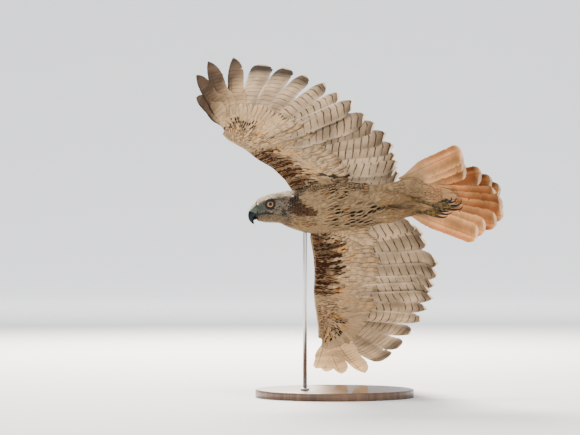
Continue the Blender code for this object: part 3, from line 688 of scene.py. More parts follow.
def nicks(rng, many, depth, chance):
    # Narrow gaps where barbs have parted at the edge
    worn = 1 + 0.02 * rng.standard_normal((many, LARGE_ROWS + 1))
    gaps = rng.random(worn.shape) < chance
    gaps[:, -WHOLE_TIP:] = False
    return np.where(gaps, 1 - depth * rng.random(worn.shape), worn)


def atlas(many, cells, columns):
    # Each feather has its own cell for each of its two faces
    wide, high = 1 / columns, 1 / math.ceil(2 * cells / columns)
    spots = np.arange(many)
    start = np.stack([(spots % columns) * wide, (spots // columns) * high], 1) + CELL_START
    return start, np.tile((wide * CELL_FILL, high * CELL_FILL), (many, 1)), start + (0, 0.5)


# %% A row of large vanes
def large_vanes(name, f, turn, outer, inner, fingers, seed, paint, marks, cells, columns):
    # f holds root, along, under, length, sweep and bend of every feather in the row
    rng = np.random.default_rng(seed)
    root, along, under, length = f["root"], f["along"], f["under"], f["length"]
    many = len(length)
    t = T_LARGE[None, :, None]
    outward = unit(np.cross(under, along)) * turn
    drop = outward * f["sweep"][:, None] + under * f["bend"][:, None]

    def spine(i, tt):
        way = length[i, None, None] * tt
        return root[i, None] + along[i, None] * way - drop[i, None] * (way * tt)

    every = np.arange(many)
    before, after = np.maximum(every - 1, 0), np.minimum(every + 1, many - 1)
    middle = spine(every, t)
    ahead = unit(spine(every, t + 0.02) - middle)
    near = np.where(fingers[:, None, None], np.minimum(t, FINGER_SPLIT), t)
    across = spine(after, near) - spine(before, near)
    across = across - ahead * (across * ahead).sum(-1, keepdims=True)
    gap = np.maximum(np.linalg.norm(across, axis=-1, keepdims=True), SHINGLE_STEP)
    slope = np.minimum(SHINGLE_STEP * (after - before)[:, None, None] / gap, STEEPEST_SHINGLE)
    tilt = np.arcsin(slope) * lerp(0.3, 1, smooth(0.05, 0.5, t))
    outward = unit(across)
    down = np.cross(outward, ahead)
    down = down * np.sign((down * under[:, None]).sum(-1, keepdims=True))
    edge = outward * np.cos(tilt) - down * np.sin(tilt)
    face = down * np.cos(tilt) + outward * np.sin(tilt)
    outer = outer * nicks(rng, many, *OUTER_NICKS)
    inner = inner * nicks(rng, many, *INNER_NICKS)
    thick = np.tile(lerp(*VANE_THICK, T_LARGE), (many, 1))
    ridge = np.tile(lerp(*SHAFT_RISE, T_LARGE ** 0.7), (many, 1))
    top, low = shape_vanes(middle, edge, face, outer, inner, LARGE_COLUMNS, thick, 0.05, ridge)
    lay = np.zeros(top.shape)
    lay[..., 0] = LARGE_COLUMNS
    lay[..., 1] = (T_LARGE[None] * length[:, None])[..., None]
    lay[..., 2] = ((1 - T_LARGE)[None] * length[:, None])[..., None]
    tint, tint_low = paint(rng, lay, length)
    lay[..., 1] += rng.uniform(0, BAR_STEP, (many, 1, 1))
    return join_vanes(name, top, low, tint, tint_low, lay, LARGE, marks, None,
                      atlas(many, cells, columns), walled=True)


# %% [markdown]
# The colours of flight feathers change along the wing. The fingers are dusky at the tip
# and glow peach at their bases, a painted glow of light shining through them that is
# brighter on the right wing, while painted shade darkens the left wing's fingertips and
# bands. The rest are creamy with thin grey-brown bars and a dark band, broad and black on
# the outer hand, softer and edged with white on the arm, with painted shade on their
# covered sides and a pale rim that is partly painted rim light. From above all of them
# are dark brown, barred with black.

# %% Paint the flight feathers
CREAM = np.array((0.66, 0.475, 0.300))
PALE_EDGE = np.array((0.90, 0.74, 0.56))
PEACH = np.array((0.66, 0.440, 0.230))
DUSK = np.array((0.090, 0.056, 0.037))
SHAFT_PALE = np.array((0.50, 0.37, 0.24))
SHAFT_DARK = np.array((0.08, 0.05, 0.035))
BACK_BROWN = np.array((0.080, 0.048, 0.030))
# Per wing: the fingers' painted glow, and their dusk, deepened on the left by painted shade
FINGER_PAINTED_GLOW = {"left": 0.75, "right": 1.75}
FINGER_DUSK_AND_SHADE = {"left": 0.96, "right": 0.10}
FLIGHT_SEEDS = {"left": 11, "right": 12}
HAND = len(PRIMARIES)
# Half widths of the outer and the inner vane at a group's two ends: widest, where it opens
# and closes, how blunt it is, where it steps in and to what share
VANE_SHAPES = {
    "arm": (((0.0140, 0.40, 0.85, 0.80, 0.5, 1), (0.0140, 0.40, 0.85, 0.80, 0.5, 1)),
            ((0.0325, 0.40, 0.80, 0.85, 0.5, 1), (0.0325, 0.40, 0.80, 0.85, 0.5, 1))),
    "hand": (((0.0145, 0.40, 0.85, 0.85, 0.5, 1), (0.0145, 0.40, 0.92, 0.45, 0.5, 1)),
             ((0.0350, 0.40, 0.80, 0.85, 0.5, 1), (0.0350, 0.40, 0.88, 0.60, 0.5, 1))),
    "finger": (((0.0115, 0.35, 0.70, 0.80, 0.46, 0.80), (0.0115, 0.35, 0.70, 0.80, 0.46, 0.80)),
               ((0.0310, 0.35, 0.62, 0.80, 0.44, 0.60), (0.0310, 0.35, 0.70, 0.80, 0.48, 0.84))),
}


def flight_paint(index, finger_dusk_and_shade, glow):
    index = index[:, None, None, None]
    finger = smooth(5.2, 6.0, index)

    def paint(rng, lay, length):
        s, left = lay[..., :1], lay[..., 2:]
        share = lay[..., 1:2] / length[:, None, None, None]
        own = 1 + 0.05 * rng.standard_normal(index.shape)
        # The fingers' peach base is a painted glow of light shining through them
        base = lerp(CREAM, PEACH * glow, finger * 0.8)
        # Fingers turn dusky from their base outwards, and darkest at the edges
        opens = 0.12 + 0.24 * smooth(7.6, 5.6, index)
        # The dusk is strong on the left wing, deepened there by painted shade, and faint on the
        # right
        dusk = finger * finger_dusk_and_shade
        base = lerp(base, DUSK, dusk * smooth(opens, opens + 0.40, share + 0.16 * s))
        edge = smooth(0.50, 0.85, s) * smooth(0.05, 0.25, share)
        edge = np.maximum(edge, smooth(0.86, 1.0, share))
        base = lerp(base, DUSK * 0.30, dusk * edge)
        # The others are greyer towards the covered side, painted shade, and pale at the rim
        grey = 0.3 + 0.7 * rng.random(index.shape)
        base = lerp(base, base * 0.56, grey * (1 - finger) * smooth(0.0, -0.7, s))
        # The pale rim is partly the feathers' own pale edge and partly a painted rim highlight
        rim = np.maximum(smooth(0.66, 0.90, s), 0.7 * smooth(-0.88, -0.98, s))
        base = lerp(base, PALE_EDGE, 0.7 * (1 - finger) * rim) * own
        shaft = np.abs(s) < SHAFT_HALF
        tint = np.where(shaft, lerp(SHAFT_PALE, SHAFT_DARK, finger), base)
        back = lerp(BACK_BROWN, BACK_BROWN * 0.45, smooth(0.030, 0.020, left))
        return tint, np.where(shaft, SHAFT_DARK, back * own) + 0 * tint

    return paint


# %% Bands and bars along the wing
def flight_marks(index, finger_dusk_and_shade):
    hand = smooth(1.0, 4.5, index) * (1 - smooth(5.4, 6.4, index))
    finger = smooth(5.4, 6.4, index)
    band = 0.29 + 0.19 * hand
    # The band on the hand is darker on the left wing, deepened by painted shade
    strength = lerp(0.70, 0.66 + 0.32 * finger_dusk_and_shade, hand) * (1 - finger)
    bars = 0.92 - 0.30 * hand - 0.45 * finger
    fringe = 0.95 * (1 - 0.75 * hand) * (1 - finger)
    return np.stack([band, strength, bars, fringe], 1)


def flight_shape(index):
    # Fingers next to the hand step in less, and the hand's outer feathers end blunter
    if index >= HAND - FINGERS:
        group, share = "finger", 1 - (index - HAND + FINGERS) / (FINGERS - 1)
    else:
        group, share = "hand" if index >= 0 else "arm", smooth(2.5, 5, index)
    return [vane_width(*lerp(*np.array(ends), share)) for ends in VANE_SHAPES[group]]


# %% Make the flight feathers
def make_flight(side):
    f = SURFACES[side].flight
    index = np.arange(len(f["length"])) - (len(f["length"]) - HAND)
    outer, inner = np.array([flight_shape(i) for i in index]).swapaxes(0, 1)
    dark = FINGER_DUSK_AND_SHADE[side]
    return large_vanes(f"wing_{side}_flight", f, SURFACES[side].turn, outer, inner,
                       index >= HAND - FINGERS, FLIGHT_SEEDS[side],
                       flight_paint(index, dark, FINGER_PAINTED_GLOW[side]), flight_marks(index, dark),
                       20, 10)


for side in SURFACES:
    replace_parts(make_flight(side), f"wing_{side}")

# %% [markdown]
# ## Wing coverts
#
# The roots of the flight feathers are hidden under rows of coverts, small at the front
# edge and long at the back, where the last row covers almost half of the flight
# feathers. Each row lies over the next. A covert is laid on the wing's sheet: its shaft
# follows the sheet backwards, its root is sunk and its tip stands off, so the rows
# overlap like tiles on a roof, on the underside and on the back.

# %% Covert rows
# Where a row's tips lie, as a share of the covered part, then length, half width, spacing
COVERT_ROWS = (
    (0.06, 0.015, 0.0028, 0.20), (0.11, 0.018, 0.0032, 0.20), (0.16, 0.020, 0.0034, 0.20),
    (0.21, 0.019, 0.0031, 0.20), (0.27, 0.021, 0.0034, 0.22), (0.33, 0.023, 0.0037, 0.24),
    (0.39, 0.025, 0.0040, 0.26), (0.46, 0.029, 0.0044, 0.28), (0.54, 0.034, 0.0050, 0.30),
    (0.64, 0.041, 0.0058, 0.32), (0.78, 0.054, 0.0070, 0.35), (1.00, 0.072, 0.0088, 0.40),
)
LAST_ROW = len(COVERT_ROWS) - 1
COVER_ARM, COVER_HAND, COVER_FINGERS = 0.46, 0.40, 0.20
USUAL_COVER, SMALLEST_COVERT, LARGEST_COVERT = 0.145, 0.5, 1.15
SMALL_COLUMNS = np.array((-1.0, -0.5, 0.0, 0.5, 1.0))
SMALL_ROWS = 6
T_SMALL = np.linspace(0, 1, SMALL_ROWS + 1)
# How far a covert's root and tip stand off, in the front rows and in the last ones
ROOT_STAND, TIP_STAND = 0.0002, (0.0010, 0.0016)
FOLD_LIFT, FOLD_WIDTH = 0.0034, 1.6
COVERT_TILT, COVERT_THICK = 0.04, 0.00030


def small_width(t):
    # A broad body feather: narrow root, widest behind the middle, round tip
    opened = 0.40 + 0.60 * smooth(0.0, 0.55, t)
    return opened * np.sqrt(np.clip(1 - (np.clip(t - 0.62, 0, 1) / 0.385) ** 2, 0.004, 1))


def first_primary(surface):
    return surface.last - len(PRIMARIES) + 1


def cover(surface, q):
    # How far the coverts reach behind the front edge
    stations = (0, first_primary(surface), surface.last - FINGERS, surface.last)
    share = np.interp(q, stations, (COVER_ARM, COVER_ARM, COVER_HAND, COVER_FINGERS))
    return surface.reach(q) + share * surface.at("length", q)


def small_lay(many, length):
    lay = np.zeros((many, SMALL_ROWS + 1, len(SMALL_COLUMNS), 3))
    lay[..., 0] = SMALL_COLUMNS
    lay[..., 1] = (T_SMALL[None] * length[:, None])[..., None]
    lay[..., 2] = T_SMALL[None, :, None]
    return lay


# %% Sow the coverts
def sow_coverts(surface, rng):
    # Place along the wing, the tip's way behind the front edge, length, half width and row
    rows = []
    for number, (share, long, wide, spacing) in enumerate(COVERT_ROWS):
        q = np.arange(0.1 + spacing / 2 * (number % 2), surface.last + 0.2, spacing)
        q = np.clip(q + rng.uniform(-0.12, 0.12, len(q)) * spacing, 0, surface.last)
        whole = cover(surface, q)
        size = np.clip(whole / USUAL_COVER, SMALLEST_COVERT, LARGEST_COVERT)
        ragged = -0.025 - 0.07 * (number > LAST_ROW - 2)
        rows.append((q, whole * (share + rng.uniform(ragged, 0.012, len(q))),
                     long * size * rng.uniform(0.94, 1.06, len(q)), wide * size ** 0.8,
                     np.full(len(q), number)))
    return [np.concatenate(column) for column in zip(*rows)]


# %% Lay them on the wing
def make_coverts(side, face):
    surface = SURFACES[side]
    rng = np.random.default_rng(21 + 2 * (side == "right") + (face < 0))
    q, tip, length, half, row = sow_coverts(surface, rng)
    start = np.maximum(tip - length, 0.0003)
    e = start[:, None] + (tip - start)[:, None] * T_SMALL
    along = np.repeat(q[:, None], SMALL_ROWS + 1, 1)
    place, _, outward, down = surface.frame(along, e)
    stand = lerp(ROOT_STAND, lerp(*TIP_STAND, smooth(7, LAST_ROW, row)[:, None]), T_SMALL)
    # The plumage is thicker over the wrist, where the hand folds under the arm
    fold = np.exp(-((q - first_primary(surface) - 0.3) / FOLD_WIDTH) ** 2)[:, None]
    lift = surface.height(along, e) + stand + FOLD_LIFT * fold * smooth(0.02, 0.06, e)
    outer_face, tilt = down * face, COVERT_TILT * face
    middle = place + outer_face * lift[..., None]
    width = half[:, None] * small_width(T_SMALL)
    top, low = shape_vanes(middle, unit(outward - down * tilt),
                           unit(outer_face + outward * tilt * face), width, width,
                           SMALL_COLUMNS, np.full(e.shape, COVERT_THICK), 0.03)
    share = tip / cover(surface, q)
    tint, marks, inks = paint_coverts(rng, surface, q, share, row, face,
                                      middle[:, SMALL_ROWS - 2] - TRUNK)
    tint = np.broadcast_to(tint[:, None, None], top.shape)
    u = (0.5 if face < 0 else 0.0) + 0.49 * q / surface.last
    join_vanes(f"coverts_{side}_{'under' if face > 0 else 'back'}", top, low, tint, tint,
               small_lay(len(q), tip - start), SMALL, marks, inks,
               small_bake(np.stack([u, share * 0.97], 1)))


# %% [markdown]
# On the underside the coverts are cream with thin rufous and dark dashes. Two marks tell
# this hawk from all others: a dark bar along the front edge between body and wrist, and
# a dark comma just beyond the wrist, drawn by spots on the coverts of the hand. The
# feathers in the armpit are barred. The back is brown with pale edges.

# %% Paint the coverts
STROKE_STRIP, STRIPS = 0.13, 400
INK_DARK = np.array((0.012, 0.007, 0.005))
INK_RUFOUS = np.array((0.135, 0.046, 0.013))
BUFF = np.array((0.60, 0.395, 0.205))
GOLD = np.array((0.64, 0.345, 0.115))
BACK_PALE = np.array((0.26, 0.185, 0.125))
PATAGIAL = np.array((0.080, 0.030, 0.012))


def between(low, high, soft, value):
    # 1 between low and high, 0 outside, soft at both ends
    return smooth(low - soft, low + soft, value) * (1 - smooth(high - soft, high + soft, value))


def paint_coverts(rng, surface, q, share, row, face, where):
    hand = first_primary(surface)
    pick = rng.random((len(q), 4))
    own = 1 + 0.07 * rng.standard_normal((len(q), 1))
    if face < 0:
        tint = lerp(BACK_BROWN, BACK_PALE, 0.35 * pick[:, :1] ** 3) * own
        marks = np.stack([0 * q, 0 * q, 0.6 * pick[:, 1], 0.14 + 0.2 * pick[:, 2] ** 2], 1)
        return tint, marks, np.tile(BACK_BROWN * 0.5, (len(q), 1))
    on_hand = smooth(hand - 2, hand, q)
    arm = smooth(0.8, 2.0, q) * (1 - smooth(hand - 2.5, hand - 0.5, q))
    late = smooth(LAST_ROW - 3, LAST_ROW, row)
    # Dark strokes run on from tier to tier, so their places are drawn once per strip
    strip = rng.random((STRIPS, 2))[(q / STROKE_STRIP).astype(int) % STRIPS]
    patagial = arm * (1 - smooth(0.22, 0.50, share + 0.30 * (strip[:, 0] - 0.5)))
    stroke = smooth(0.1, 0.5, patagial) * (strip[:, 1] < 0.46 + 0.45 * patagial)
    front_edge = (1 - smooth(0.05, 0.11, share)) * on_hand
    comma = smooth(hand + 2.2, hand + 3.2, q) * (share > 0.40) * (share < 0.66)
    comma = comma * (pick[:, 0] < 0.55)
    spots = on_hand * (1 - smooth(0.36, 0.52, share)) * (pick[:, 0] < 0.62)
    dashes = (pick[:, 1] < 0.26) * (1 - late) * (0.5 + 0.4 * pick[:, 2])
    armpit = (1 - smooth(1.6, 3.2, q)) * smooth(0.30, 0.45, share) * (pick[:, 1] < 0.7)
    drop = np.maximum.reduce([stroke, dashes, spots * 0.9, comma, front_edge * 0.6])
    bars = armpit * 0.75 + 0.30 * late * (1 - smooth(hand, hand + 2, q))
    tips = np.clip(comma * 0.5 + 0.35 * spots, 0, 1)
    warm = np.clip(patagial * (0.64 + 0.36 * (strip[:, 1] < 0.45)), 0, 1)
    # Golden clouds between the tiers
    cloud = np.sin(q * 2.1 + 1.0 + 3 * share) * np.sin(share * 9 + 0.7 * q)
    golden = smooth(0.05, 0.80, cloud + 0.6 * (pick[:, 3] - 0.5)) * (1 - 0.7 * late)
    golden = 0.90 * golden * smooth(0.18, 0.35, share)
    tint = lerp(lerp(CREAM, BUFF, 0.4 + 0.5 * pick[:, :1]), GOLD, golden[:, None])
    # Where the raised wing meets the body: spotted feathers and a dark shadow line
    x, _, z = where.T
    root = smooth(-0.075, -0.055, x) * (1 - smooth(0.090, 0.104, x))
    root = root * (1 - smooth(0.0625, 0.0655, z)) * (surface is SURFACES["left"])
    line = root * smooth(0.0545, 0.0575, z)
    spotted = root * (1 - smooth(0.0525, 0.0555, z))
    tint = lerp(tint, BUFF * 0.55, spotted[:, None])
    tint = tint * (1 - 0.92 * line[:, None])
    drop = np.maximum(np.clip(drop, 0, 1), spotted * (pick[:, 2] < 0.55))
    tint = lerp(tint, tint * (0.80, 0.82, 0.88), (late * pick[:, 1])[:, None])
    tint = lerp(tint, PATAGIAL, warm[:, None]) * own
    rufous = (pick[:, 0] < 0.35 - 0.25 * patagial) * (comma <= 0.3)
    fringe = 0.10 * (1 - patagial) * (row < LAST_ROW)
    marks = np.stack([drop, np.clip(bars, 0, 1), tips, fringe], 1)
    return tint, marks, lerp(INK_DARK, INK_RUFOUS, rufous[:, None])


# %% Make the coverts
for side in SURFACES:
    for face in (1, -1):
        make_coverts(side, face)

# %% [markdown]
# ## Tail
#
# Twelve broad feathers open in a fan about a point in the rump, rolled a little with the
# body. They are what names the bird: brick red above, and a paler orange below where the
# light shines through, with a thin dark band and a whitish tip. The two halves of the
# fan overlap from the middle outwards, so that the middle pair lies on top.

# %% Tail feathers
FAN_CENTRE = np.array((0.025, 0.014, 0.0214))
FAN_START = 0.080
FAN_SPREAD = np.array((25.0, 21.0, 16.0, 11.0, 6.5, 2.5, -1.5, -5.0, -8.5, -12.5, -16.5, -20.5))
FAN_REACH = np.array((0.218, 0.216, 0.215, 0.243, 0.262, 0.278, 0.272, 0.284, 0.287, 0.277,
                      0.258, 0.248))
BODY_ROLL = math.radians(12)
TAIL_UNDER = np.array((0, -math.cos(BODY_ROLL), -math.sin(BODY_ROLL)))
TAIL_UP = np.array((0, -math.sin(BODY_ROLL), math.cos(BODY_ROLL)))
TAIL_ORANGE = np.array((0.50, 0.160, 0.047))
TAIL_PALE = np.array((1.0, 0.53, 0.215))
# Dark for the band, shafts and webs, and painted shade on the covered sides
TAIL_DARK_AND_SHADE = np.array((0.150, 0.044, 0.016))
TAIL_ROOT = np.array((0.58, 0.370, 0.195))
TAIL_BRICK = np.array((0.30, 0.082, 0.026))
TAIL_OUTER = (0.0160, 0.45, 0.90, 0.5, 0.5, 1)
TAIL_INNER = (0.0260, 0.45, 0.88, 0.5, 0.5, 1)
TAIL_MARKS = (0.16, 0.45, 0.0, 0.42)


def tail_paint(rng, lay, length):
    many = len(length)
    s, left = lay[..., :1], lay[..., 2:]
    own = 1 + 0.16 * rng.standard_normal((many, 1, 1, 1))
    outermost = smooth(0.3, 1.0, np.arange(many) / (many - 1))[:, None, None, None]
    # The pale outer edges of the webs are painted rim light
    base = lerp(TAIL_ORANGE, TAIL_PALE, 0.55 * outermost + 0.45 * smooth(-0.45, -0.95, s))
    # Covered side in painted shade, open web, pale stripe by the shaft, dark band and pale tip
    for colour, share in (
            (TAIL_DARK_AND_SHADE, 0.85 * (1 - 0.35 * outermost) * smooth(0.0, 0.80, s)),
            (TAIL_DARK_AND_SHADE, 0.38 * smooth(-0.02, -0.35, s) * smooth(-1.0, -0.60, s)),
            (TAIL_PALE, 0.45 * smooth(0.03, 0.15, s) * smooth(0.55, 0.25, s)),
            (TAIL_DARK_AND_SHADE, 0.45 * (1 - outermost) * smooth(0.10, 0.04, left)),
            # A pale tip, and a pale line at the inner edge that is painted rim light
            (TAIL_PALE, 0.7 * smooth(0.016, 0.004, left) + 0.35 * smooth(0.88, 0.98, s))):
        base = lerp(base, colour, share)
    base = lerp(TAIL_ROOT, base, smooth(0.015, 0.100, lay[..., 1:2]))
    shaft = np.abs(s) < SHAFT_HALF
    base = np.where(shaft, lerp(base, TAIL_DARK_AND_SHADE, 0.60), base * own)
    return base, np.where(shaft, SHAFT_DARK * 1.5, TAIL_BRICK * own) + 0 * base


# %% Make the tail's two halves
def make_tail_half(name, feathers, turn, seed):
    angle = np.radians(FAN_SPREAD[feathers])[:, None]
    many = len(angle)
    along = np.array((1, 0, 0)) * np.cos(angle) + TAIL_UP * np.sin(angle)
    f = {"root": TRUNK + FAN_CENTRE + along * FAN_START, "along": along,
         "under": np.tile(TAIL_UNDER, (many, 1)), "length": FAN_REACH[feathers] - FAN_START,
         "sweep": np.zeros(many), "bend": np.zeros(many)}
    outer, inner = (np.tile(vane_width(*row), (many, 1)) for row in (TAIL_OUTER, TAIL_INNER))
    return large_vanes(name, f, turn, outer, inner, np.zeros(many, bool), seed,
                       tail_paint, np.tile(TAIL_MARKS, (many, 1)), 8, 4)


MIDDLE_PAIR = 5
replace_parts(make_tail_half("tail_upper", np.arange(MIDDLE_PAIR, -1, -1), 1, 31), "tail")
make_tail_half("tail_lower", np.arange(MIDDLE_PAIR + 1, len(FAN_SPREAD)), -1, 32)

# %% [markdown]
# ## The skin
#
# Under the plumage lies one skin. Rings along the body are bent into a closed tube, the
# thighs and the arms of the wings are made the same way, and two small brow ridges are
# added. A voxel remesh then melts them into one surface without inner walls, and a
# little smoothing takes away its steps. The skin lies inside the finished coat by the
# coat's depth, which is less than a millimetre on the face and three on the rump.

# %% Body rings and skin values
# Along the body, height of the middle, half height, depth, half depth
BODY_RINGS = (
    (-0.1900, -0.0070, 0.0135, -0.002, 0.0085), (-0.1850, -0.0080, 0.0220, -0.002, 0.0125),
    (-0.1790, -0.0064, 0.0246, -0.002, 0.0190), (-0.1680, -0.0055, 0.0277, -0.002, 0.0240),
    (-0.1540, -0.0040, 0.0294, -0.002, 0.0265),
    (-0.1400, -0.0034, 0.0310, -0.002, 0.0285), (-0.1240, -0.0058, 0.0362, -0.001, 0.0300),
    (-0.1100, -0.0080, 0.0395, 0.001, 0.0340), (-0.0960, -0.0090, 0.0430, 0.002, 0.0385),
    (-0.0760, -0.0092, 0.0472, 0.002, 0.0450), (-0.0560, -0.0070, 0.0492, 0.000, 0.0495),
    (-0.0300, -0.0036, 0.0494, -0.003, 0.0520), (0.0000, -0.0016, 0.0486, -0.003, 0.0520),
    (0.0300, 0.0002, 0.0455, -0.001, 0.0475), (0.0600, 0.0040, 0.0400, 0.002, 0.0400),
    (0.0840, 0.0115, 0.0375, 0.005, 0.0310), (0.1000, 0.0165, 0.0370, 0.007, 0.0235),
    (0.1180, 0.0205, 0.0410, 0.009, 0.0160), (0.1400, 0.0215, 0.0400, 0.011, 0.0100),
    (0.1650, 0.0200, 0.0290, 0.012, 0.0060), (0.1900, 0.0190, 0.0140, 0.012, 0.0030),
)
THIGH_RINGS = {
    "left": ((0.0440, 0.0120, 0.0130, -0.030, 0.0110), (0.0600, 0.0150, 0.0160, -0.034, 0.0150),
             (0.0800, 0.0160, 0.0152, -0.034, 0.0150), (0.1000, 0.0150, 0.0120, -0.031, 0.0110),
             (0.1180, 0.0150, 0.0065, -0.029, 0.0060)),
    "right": ((0.0440, -0.0170, 0.0140, -0.020, 0.0130), (0.0620, -0.0185, 0.0170, -0.024, 0.0170),
              (0.0840, -0.0175, 0.0165, -0.024, 0.0160), (0.1060, -0.0135, 0.0125, -0.022, 0.0110),
              (0.1240, -0.0120, 0.0065, -0.021, 0.0060)),
}
HEAD_DEPTH = -0.002
EYE_AT, EYE_RADIUS, EYE_SINK = (-0.1592, 0.0034), 0.0090, 0.0066
BROW = ((-0.1745, 0.0075), (-0.1640, 0.0148), (-0.1490, 0.0135))
BROW_RADII, BROW_SINK = (0.0016, 0.0036, 0.0016), 0.0024
RING_SIDES, RING_POWER = 48, 2.2
BODY_STEPS, THIGH_STEPS, BROW_STEPS, ARM_STEPS, ARM_POINTS = 90, 24, 17, 60, 14
THINNEST_RING, THINNEST_ARM = 0.0006, 0.0004
THIGH_COAT, FACE_COAT, BODY_COAT = 0.0022, 0.0008, 0.0022
VOXEL = 0.0023
# Bare skin in front of the brow and round the eye
BARE_FACE, EYE_RIM = (-0.176, -0.170), (0.0115, 0.0130)
BARE_SKIN = (0.012, 0.012, 0.010, 1)


def body_row(x):
    return read_keyed(BODY_RINGS, x)


# %% Rings and tubes
def circle(sides):
    angle = np.arange(sides) / sides * 2 * math.pi
    return np.cos(angle), np.sin(angle)


def squared(c):
    # Rounds a circle's sides out a little
    return np.sign(c) * np.abs(c) ** (2 / RING_POWER)


def coat_depth(x):
    return FACE_COAT + BODY_COAT * smooth(-0.14, -0.05, x)


def rings_of(rows, shrink, sides=RING_SIDES):
    # Rounded rings across the body's length, one for each row
    round_y, round_z = (squared(c) for c in circle(sides))
    rings = []
    for x, z, half_height, y, half_depth in rows:
        less = shrink(x)
        rings.append(TRUNK + np.stack([
            np.full(sides, x), y + round_y * max(half_depth - less, THINNEST_RING),
            z + round_z * max(half_height - less, THINNEST_RING)], 1))
    return rings


def tube_shape(rings):
    # A grid bent round through rings of points, joined along its seam and closed
    rings = np.asarray(rings)
    count, around = rings.shape[:2]
    shape = bmesh.new()
    bmesh.ops.create_grid(shape, x_segments=around, y_segments=count - 1, size=1)
    for i, v in enumerate(in_rows(shape)):
        row, column = divmod(i, around + 1)
        v.co = rings[row, column % around]
    bmesh.ops.remove_doubles(shape, verts=shape.verts, dist=0.0000005)
    bmesh.ops.holes_fill(shape, edges=[e for e in shape.edges if e.is_boundary], sides=0)
    bmesh.ops.recalc_face_normals(shape, faces=shape.faces)
    if shape.calc_volume(signed=True) < 0:
        bmesh.ops.reverse_faces(shape, faces=shape.faces)
    return shape


def turn_rings(middle, radii, first, second, sides):
    # A ring at each place, turned from its first direction to its second
    c, s = circle(sides)
    out = first[:, None] * c[None, :, None] + second[:, None] * s[None, :, None]
    return middle[:, None] + np.asarray(radii)[:, None, None] * out


def tube_rings(points, radii, sides, up=(0, 0, 1)):
    # Rings square to a line of points
    points = np.asarray(points, float)
    ahead = unit(np.gradient(points, axis=0))
    side = unit(np.cross(ahead, np.asarray(up, float)))
    return turn_rings(points, radii, side, np.cross(side, ahead), sides)


# %% One object out of closed shapes
def add_piece(name, shapes, material, replaced=()):
    # One object out of one or more closed shapes
    whole = bmesh.new()
    for shape in shapes:
        part = bpy.data.meshes.new("part")
        shape.to_mesh(part)
        shape.free()
        whole.from_mesh(part)
        bpy.data.meshes.remove(part)
    for f in whole.faces:
        f.smooth = True
    mesh = bpy.data.meshes.new(name)
    whole.to_mesh(mesh)
    whole.free()
    mesh.materials.append(material)
    return add_object(name, mesh, replaced)


# %% The arms' rings and the skin's look
def arm_rings(surface):
    rings = []
    face = np.repeat((1, -1), ARM_POINTS)[:, None]
    for q in np.linspace(0, surface.last - 1, ARM_STEPS):
        reach = float(surface.reach(np.array(q)) + surface.at("chord", np.array(q)) * 0.35)
        e = np.linspace(THINNEST_ARM, reach, ARM_POINTS)
        e = np.concatenate([e, e[::-1]])
        along = np.full(len(e), q)
        place, _, _, down = surface.frame(along, e)
        lift = np.maximum(surface.height(along, e), THINNEST_ARM)
        rings.append(place + down * face * lift[:, None])
    return rings


def skin_material():
    # Down in the coat's own colours; nearly black where the face is bare
    n = Nodes("skin_down")
    grain = n.noise(260, 3)
    n.bump(grain, 0.0005, 0.5)
    down = n.shaded(n.attribute("tint")["Color"], grain * 0.5 + 0.55)
    x, _, z = n.parts(n.place)
    feathered = n.step(*(float(TRUNK[0] + edge) for edge in BARE_FACE), x)
    feathered = feathered * n.step(*EYE_RIM, from_eye(n, x, z)[0])
    return n.finish(n.mix(feathered, BARE_SKIN, down), 0.9)


def from_eye(n, x, z):
    # In the side view: how far from the eye, and the two parts of that way
    x, z = x - float(TRUNK[0] + EYE_AT[0]), z - float(TRUNK[2] + EYE_AT[1])
    return n.math("SQRT", x * x + z * z), x, z


# %% Drop specks and read a surface
def largest_island(mesh):
    # The melt leaves specks in the thin edges of the wings, so they are dropped
    shape = bmesh.new()
    shape.from_mesh(mesh)
    left, islands = set(shape.verts), []
    while left:
        front = [left.pop()]
        island = list(front)
        while front:
            reached = {e.other_vert(v) for v in front for e in v.link_edges} & left
            left -= reached
            front = list(reached)
            island += front
        islands.append(island)
    islands.sort(key=len)
    specks = [v for island in islands[:-1] for v in island]
    bmesh.ops.delete(shape, geom=specks, context="VERTS")
    shape.to_mesh(mesh)
    shape.free()


def surface_tree(mesh):
    return BVHTree.FromPolygons([v.co for v in mesh.vertices], [p.vertices for p in mesh.polygons])


# %% Melt the flesh into one skin
flesh = [tube_shape(rings_of(spline(BODY_RINGS, BODY_STEPS), coat_depth))]
for side in SURFACES:
    thigh = spline(THIGH_RINGS[side], THIGH_STEPS)
    flesh.append(tube_shape(rings_of(thigh, lambda x: THIGH_COAT, THIGH_STEPS)))
    flesh.append(tube_shape(arm_rings(SURFACES[side])))
for face in (-1, 1):
    line = [TRUNK + (x, HEAD_DEPTH + face * (body_row(x)[3] - BROW_SINK), z) for x, z in BROW]
    radii = np.interp(np.linspace(0, 2, BROW_STEPS), (0, 1, 2), BROW_RADII)
    flesh.append(tube_shape(tube_rings(spline(line, BROW_STEPS), radii, 12, (0, face, 0))))
skin = add_piece("skin", flesh, skin_material(),
                 ("head", "neck", "torso", "thigh_left", "thigh_right"))
melt = skin.modifiers.new("melt", "REMESH")
melt.mode, melt.voxel_size, melt.use_smooth_shade = "VOXEL", VOXEL, True
soften = skin.modifiers.new("soften", "SMOOTH")
soften.factor, soften.iterations = 0.5, 3
melted = bpy.data.meshes.new_from_object(
    skin.evaluated_get(bpy.context.evaluated_depsgraph_get()))
largest_island(melted)
skin.modifiers.clear()
skin.data = melted
skin_tree = surface_tree(melted)
print("skin after melting:", len(melted.polygons), "faces")

# %% [markdown]
# ## Body and head feathers
#
# Contour feathers cover the skin from the bill to the tail. They are sown ring by ring:
# a ray is cast inwards to find the skin, then the shaft is led backwards over it, one
# short step at a time, so it bends with the body and follows the lie of the coat. They
# are a few millimetres long on the face and four times as long on the belly, and each
# stands a little prouder at its tip, so the next ones can slip under it.

